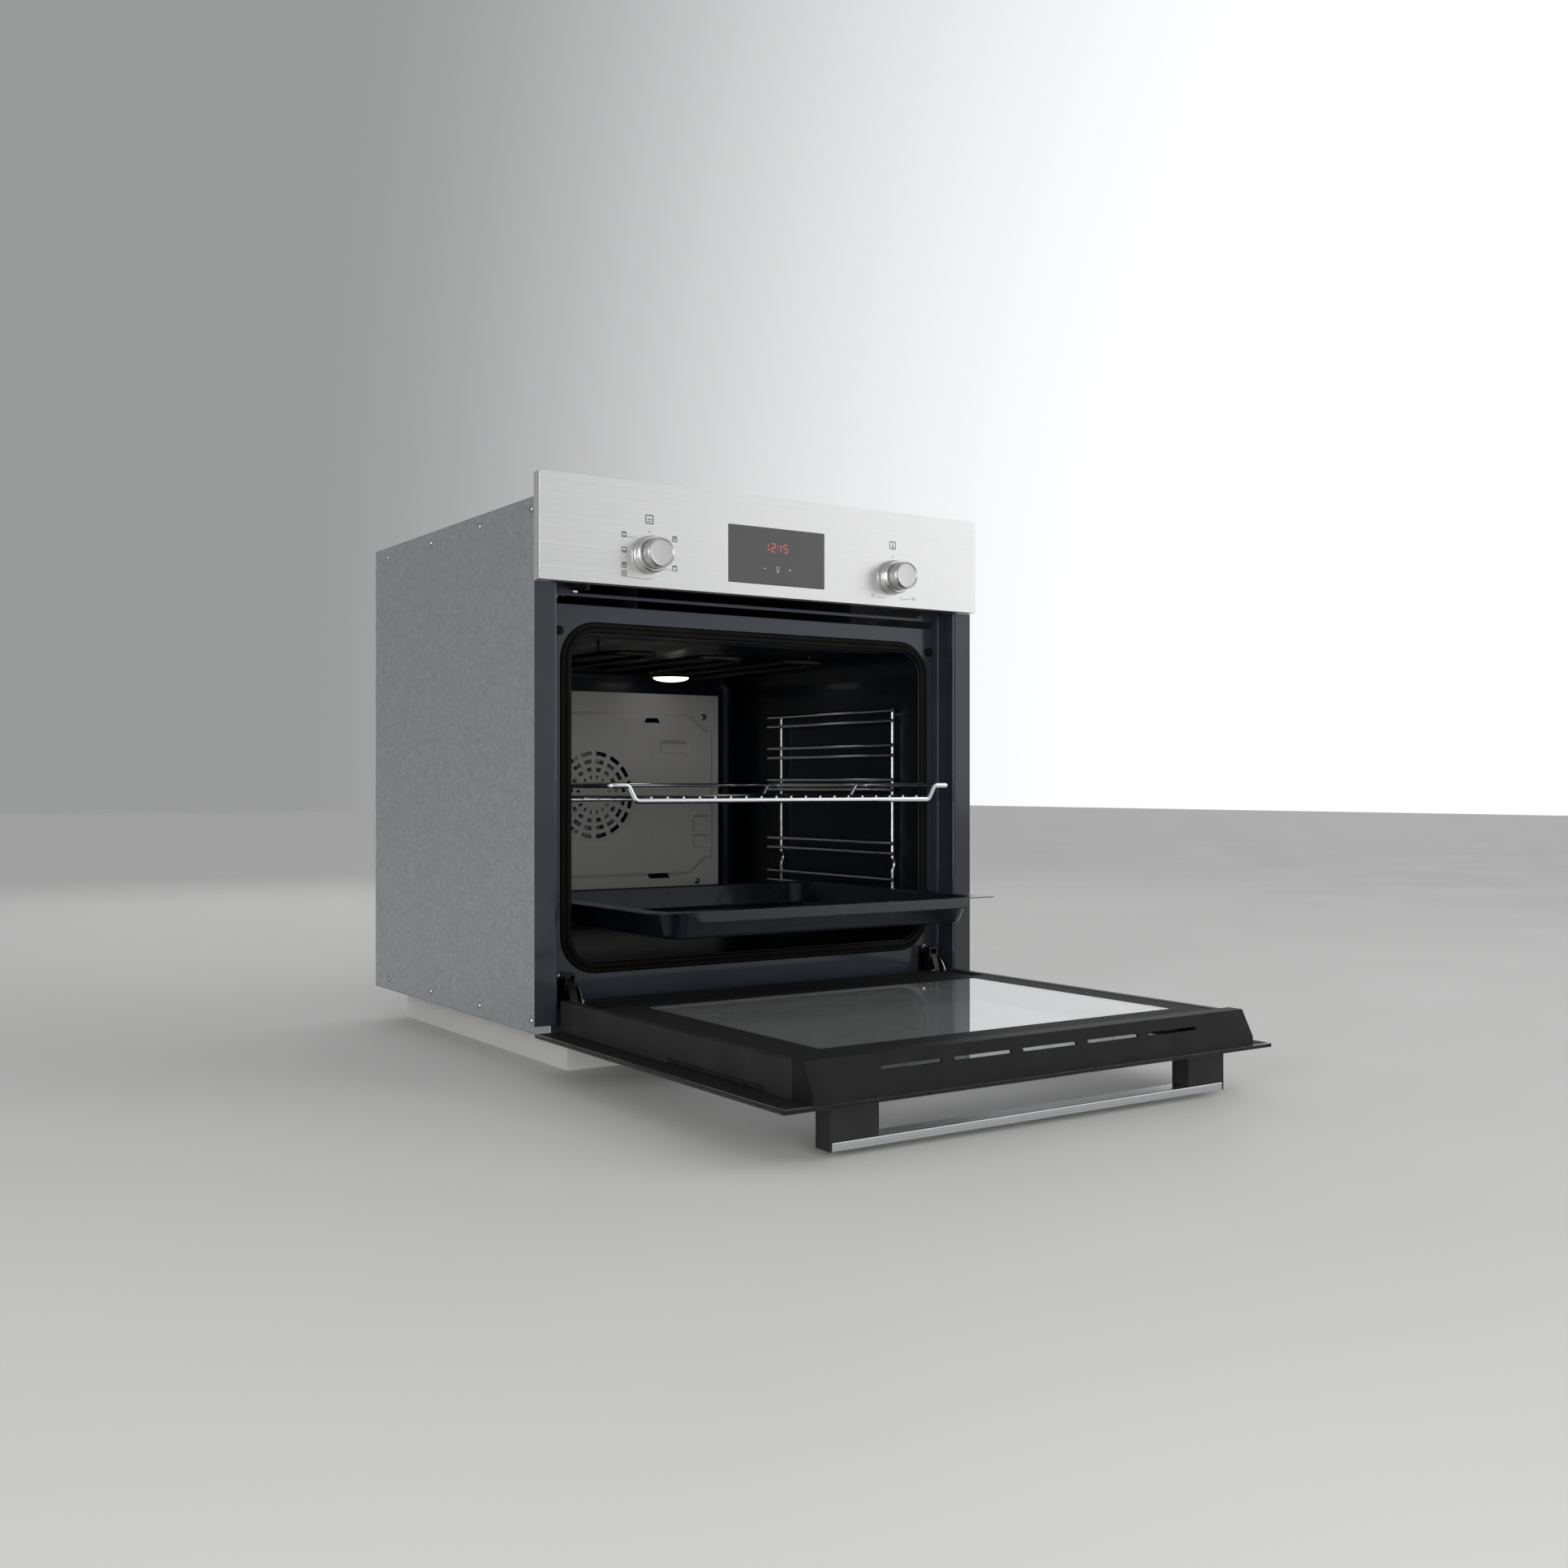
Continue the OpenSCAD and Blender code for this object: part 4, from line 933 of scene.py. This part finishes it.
def grill():
    """Serpentine grill element with its clips."""
    low, high = node_box("grill_element")
    z = low.z + 3.3
    half = high.x - 3.3
    back = CAV_BACK - 120
    front = FRAME_Y + 70
    rows = 6
    pitch = 2 * half / (rows - 1)
    path = [(-half, CAV_BACK - 0.5, z)]
    for i in range(rows):
        x = -half + i * pitch
        ends = (back, front) if i % 2 == 0 else (front, back)
        path += [(x, ends[0] if i else back, z), (x, ends[1], z)]
    path += [(half, CAV_BACK - 0.5, z)]
    clips = [([(s * half, y, z), (s * half, y, CAV_TOP)], 3.2, 0) for s in (-1, 1)
             for y in (FRAME_Y + 110, back - 40)]
    wires("grill_tube", "oven", HEATER, [(path, 6.4, pitch * 0.42)] + clips,
          ("grill_element",))


def shelf_levels():
    """Heights of the lower wire of each level: the CAD supports' lowest point plus listed offsets."""
    base = POST_LOW.z + 7
    return [base, base + 46, base + 127, base + 171, base + 215]


def shelf_supports():
    """Chrome side racks: two kinked uprights and five pairs of wires."""
    d = 5
    wire_x = CAV_HALF - 11
    post_x = wire_x + d - 0.3
    y0, y1 = FRAME_Y + 45, CAV_BACK - 148
    levels = shelf_levels()
    kink = levels[1] - 12
    for side, name in ((-1, "left"), (1, "right")):
        runs = []
        for y in (y0, y1):
            path = [(post_x, POST_LOW.z + 0.2), (post_x, kink - 9), (post_x + 3, kink - 3.5),
                    (post_x + 3, kink + 0.5), (post_x, kink + 6), (post_x, POST_HIGH.z - 0.2)]
            runs.append(([(side * x, y, z) for x, z in path], d, 4))
        for z in levels:
            for up in (0, 13):
                path = [(wire_x, y0 - 6), (wire_x, y1 + 27), (wire_x + 6, y1 + 36)]
                runs.append(([(side * x, y, z + up) for x, y in path], d - 0.2, 8))
        for y in (y0, y1):
            for z in (levels[0] - 2, levels[4] + 8):
                runs.append(([(side * post_x, y, z), (side * (CAV_HALF - 0.1), y, z)], 4, 0))
        wires("side_rack_" + name, "oven", CHROME, runs, ("shelf_support_" + name,))


def cavity():
    cavity_liner()
    fan_cover()
    lamp()
    grill()
    shelf_supports()


# ---- shelves
def rack():
    """Wire rack: bent frame, cross wires and the grid."""
    d, cross, grid = 6.0, 4.5, 3.0
    rail_x = RACK_HIGH.x - d / 2 - 0.4
    rail_z = RACK_HIGH.z - d / 2 - 0.4
    front = RACK_LOW.y + d / 2 + 0.4
    back = RACK_HIGH.y - 0.5
    low = rail_z - 16.5
    corner, foot = rail_x - 20, rail_x - 29

    def dip(y, *more):
        """A wire that dips between the rails; its left half mirrors the right."""
        right = [(foot, y, low), (corner, y, rail_z), (rail_x, y, rail_z), *more]
        return [(-px, py, pz) for px, py, pz in reversed(right)] + right

    runs = [(dip(front, (rail_x, back, rail_z)), d, 6)]
    runs += [(dip(y), cross, 5) for y in (front + 158, back - 24)]
    runs.append(([(-rail_x, back - 4, rail_z), (rail_x, back - 4, rail_z)], d - 1, 0))
    count = 2 * int((rail_x - 38) // 20) + 1
    for i in range(count):
        x = (i - (count - 1) / 2) * 20
        runs.append(([(x, front - 0.5, low + 3.2), (x, back - 22, low + 3.2)], grid, 0))
    wires("wire_rack_chrome", "rack", CHROME, runs, ("wire_rack",))


def tray():
    """Deep enamelled tray: drawn pan, flat rim with a rolled edge, and a sloping front lip."""
    top = TRAY_HIGH.z
    bottom = TRAY_LOW.z
    half = TRAY_HIGH.x
    lip = 8
    y0, y1 = TRAY_LOW.y + lip + 0.5, TRAY_HIGH.y
    mid_y, half_l = (y0 + y1) / 2, (y1 - y0) / 2
    wall = half - 26
    t = 1.2

    def ring(half_w, half_d, radius, z):
        return [(x, mid_y + y, z) for x, y in rounded_rect(half_w, half_d, radius, 10)]

    inside = [(half, half_l, 12, top - 0.9), (half - 0.5, half_l - 0.5, 12, top - 0.1),
              (half - 1.4, half_l - 1.4, 12, top),
              (wall + 2.0, half_l - 8.5, 25, top), (wall + 0.4, half_l - 10, 24, top - 0.7),
              (wall - 0.6, half_l - 11, 24, top - 2.4), (wall - 8.2, half_l - 18.6, 20, bottom + 5),
              (wall - 9.8, half_l - 20.4, 18, bottom + 2.2), (wall - 13, half_l - 23.6, 16, bottom + t)]
    outside = [(wall - 13, half_l - 23.6, 16, bottom + 0.02), (wall - 9.0, half_l - 19.4, 18, bottom + 1.2),
               (wall - 7.2, half_l - 17.4, 20, bottom + 4.6), (wall + 0.6, half_l - 9.6, 25, top - 3.0),
               (wall + 2.0, half_l - 8.0, 25, top - t), (half - 1.0, half_l - 1.0, 12, top - t)]
    bm = Shape()
    rings = [ring(*r) for r in inside + outside]
    rows = [[bm.bm.verts.new(p) for p in r] for r in rings]
    n = len(inside)
    for index, (a, b) in enumerate(list(zip(rows, rows[1:])) + [(rows[-1], rows[0])]):
        if index == n - 1:
            continue
        for i in range(len(a)):
            k = (i + 1) % len(a)
            bm.bm.faces.new((a[i], a[k], b[k], b[i]))
    bm.bm.faces.new(rows[n - 1])
    bm.bm.faces.new(reversed(rows[n]))
    lip_half, shoulder = half - 55, half - 47
    path = [(y0 + 3, top - 0.1), (y0 - 1, top - 0.2), (TRAY_LOW.y + 0.6, top - 9.4),
            (TRAY_LOW.y + 0.3, top - 10.4)]
    back = [(y + 0.9, z - 0.9) for y, z in reversed(path)]
    section = path + back
    rings = []
    for x, share in ((-shoulder, 0.15), (-lip_half, 1), (lip_half, 1), (shoulder, 0.15)):
        rings.append([(x, y0 + 3 + (y - y0 - 3) * share if share < 1 else y,
                       top - 0.1 + (z - top + 0.1) * share if share < 1 else z) for y, z in section])
    bm.loft(rings)
    bm.piece("enamel_tray", "tray", TRAY_ENAMEL, "cavity_enamel", ("baking_tray",), smooth=50)


# ---- door
def frame_ring(name, outer, inner, radius, z0, z1, finish, slot):
    """Flat printed border: outer and inner are (x low, x high, y low, y high)."""
    def ring(box, r, z):
        x0, x1, y0, y1 = box
        centre = ((x0 + x1) / 2, (y0 + y1) / 2)
        return [(x, y, z) for x, y in rounded_rect((x1 - x0) / 2, (y1 - y0) / 2, r, 8, centre)]
    rings = [ring(outer, 1.5, z0), ring(outer, 1.5, z1), ring(inner, radius, z1), ring(inner, radius, z0)]
    return Shape().loft(rings, loop=True).piece(name, "door", finish, slot)


def door():
    """Glass panes with black printed borders, plastic frames and the vented top cap."""
    for name, width, finish in (("door_outer_glass", 0.7, GLASS_DARK), ("door_inner_glass", 0.5, GLASS_HAZED),
                                ("door_middle_glass", 0.4, GLASS_CLEAR)):
        softened(name, width, finish).visible_shadow = False
    for name, width, finish in (
            ("door_side_frame_left", 0.8, BRACKET), ("door_side_frame_right", 0.8, BRACKET),
            ("door_top_cap", 0.9, PLASTIC), ("door_bottom_rail", 0.8, PLASTIC)):
        softened(name, width, finish)
    z, edge = INNER_HIGH.z, 0.6
    reach = INNER_HIGH.x - edge
    frame_ring("inner_glass_print", (-reach, reach, INNER_LOW.y + edge, INNER_HIGH.y - edge), INNER_WINDOW,
               5, z + 0.04, z + 0.16, FRIT, "black_plastic")
    z, edge = GLASS_HIGH.z, 3
    frame_ring("outer_glass_print", (edge - HALF, HALF - edge, GLASS_LOW.y + edge, GLASS_HIGH.y - edge),
               OUTER_WINDOW, 8, z + 0.05, z + 0.2, FRIT, "black_plastic")


def handle():
    """Brushed bar between two moulded brackets."""
    softened("handle_bar", 1.1, STEEL_BAR, 3)
    softened("handle_brackets", 1.6, BRACKET, 3)
    screws = Shape()
    low, high = node_box("handle_screws")
    r = (high.y - low.y) / 2
    for side in (-1, 1):
        for x in (high.x - r, high.x - r - 26):
            y = (low.y + high.y) / 2
            screws.lathe((side * x, y, 0), "z", [
                (0.4, low.z), (r, low.z), (r, high.z - 1.2), (r - 0.8, high.z - 0.3), (r - 2.0, high.z),
                (1.9, high.z), (1.7, high.z - 1.4), (0.4, high.z - 1.4)], 24)
    screws.piece("handle_bolts", "door", ZINC, "hinge_steel", ("handle_screws",))


def hinges():
    """Pressed hinge parts with rounded edges, rivets and a coil spring."""
    for node in ("hinge_arms", "hinge_lever_left", "hinge_lever_right", "hinge_channels"):
        softened(node, 0.35, OXIDE)
    low, high = node_box("hinge_springs")
    runs = []
    turns, coil_r, d = 16, 5.0, 2.2
    for side in (-1, 1):
        x0 = side * (HALF - 48)
        z0 = (low.z + high.z) / 2
        y_start, y_end = low.y + 18, high.y - 6
        steps = turns * 14
        path = []
        for i in range(steps + 1):
            a = 2 * math.pi * i / 14
            path.append((x0 + coil_r * math.cos(a), y_start + (y_end - y_start) * i / steps,
                         z0 + coil_r * math.sin(a) * 0.9))
        runs.append((path, d, 0))
        runs.append(([(x0, low.y + 1, z0), (x0, high.y - 1, z0)], 5, 0))
    wires("hinge_coils", "door", ZINC, runs, ("hinge_springs",))
    rivets, links, pins = Shape(), Shape(), Shape()
    for side in (-1, 1):
        x = side * HINGE_X
        for y, z in ((FRAME_Y - 18, 34), (FRAME_Y - 12, 20)):
            rivets.lathe((x, y, z), "x", [
                (0.4, -4.9), (2.3, -4.9), (2.6, -4.2), (2.6, 4.2), (2.3, 4.9), (0.4, 4.9)], 20)
        rivets.lathe((x - (8.6 if side < 0 else 1), FRAME_Y, 64.5), "y", [
            (0.4, -0.2), (2.0, -0.2), (2.2, -1.4), (3.6, -1.6), (3.8, -2.4), (3.0, -3.0), (0.4, -3.0)], 24)
        bend = arc((FRAME_Y - 2, 27), 33, 92, 178, 14) + arc((FRAME_Y - 2, 27), 24, 178, 92, 14)
        links.prism(bend, "yz", x + 6.4, x + 7.3)
        pins.lathe((side * CHANNEL_X, 11.4, 38), "x", [
            (0.3, -18), (1.2, -18), (1.4, -17.6), (1.4, 13.6), (1.9, 14), (1.9, 18), (1.6, 18.4),
            (0.3, 18.4)], 20)
    rivets.piece("hinge_rivets", "oven", CHROME, "hinge_steel")
    links.piece("hinge_links", "oven", CHROME, "hinge_steel", bevel=0.2)
    pins.piece("hinge_rods", "door", CHROME, "hinge_steel")


# ---- casing
def casing_screws():
    """Pan-head screws along the casing's edges."""
    shape = Shape()
    for side in (-1, 1):
        for y in (60, 200, 350, 500):
            for z in (14, node_box("side_panel_right")[1].z - 12):
                shape.lathe((side * BODY_HALF, y, z), "x", [
                    (0.3, -0.6 * side), (3.8, -0.6 * side), (3.8, 0.5 * side), (3.0, 1.5 * side),
                    (1.6, 1.8 * side), (1.4, 0.9 * side), (0.3, 0.9 * side)], 20)
    for x in (-250, -90, 90, 250):
        for z in (16, CASE_HIGH.z - 12):
            shape.lathe((x, BODY_BACK, z), "y", [
                (0.3, -0.8), (3.8, -0.8), (3.8, -0.3), (3.0, -0.1), (0.3, -0.1)], 20)
    shape.piece("casing_screws", "oven", ZINC, "hinge_steel")


def casing():
    for node in ("base_plate", "side_panel_left", "side_panel_right", "top_cover", "rear_panel"):
        softened(node, 0.35, segments=1)
    casing_screws()


dress_cad_nodes()
studio()
control_panel()
front_frame()
cavity()
rack()
tray()
door()
handle()
hinges()
casing()
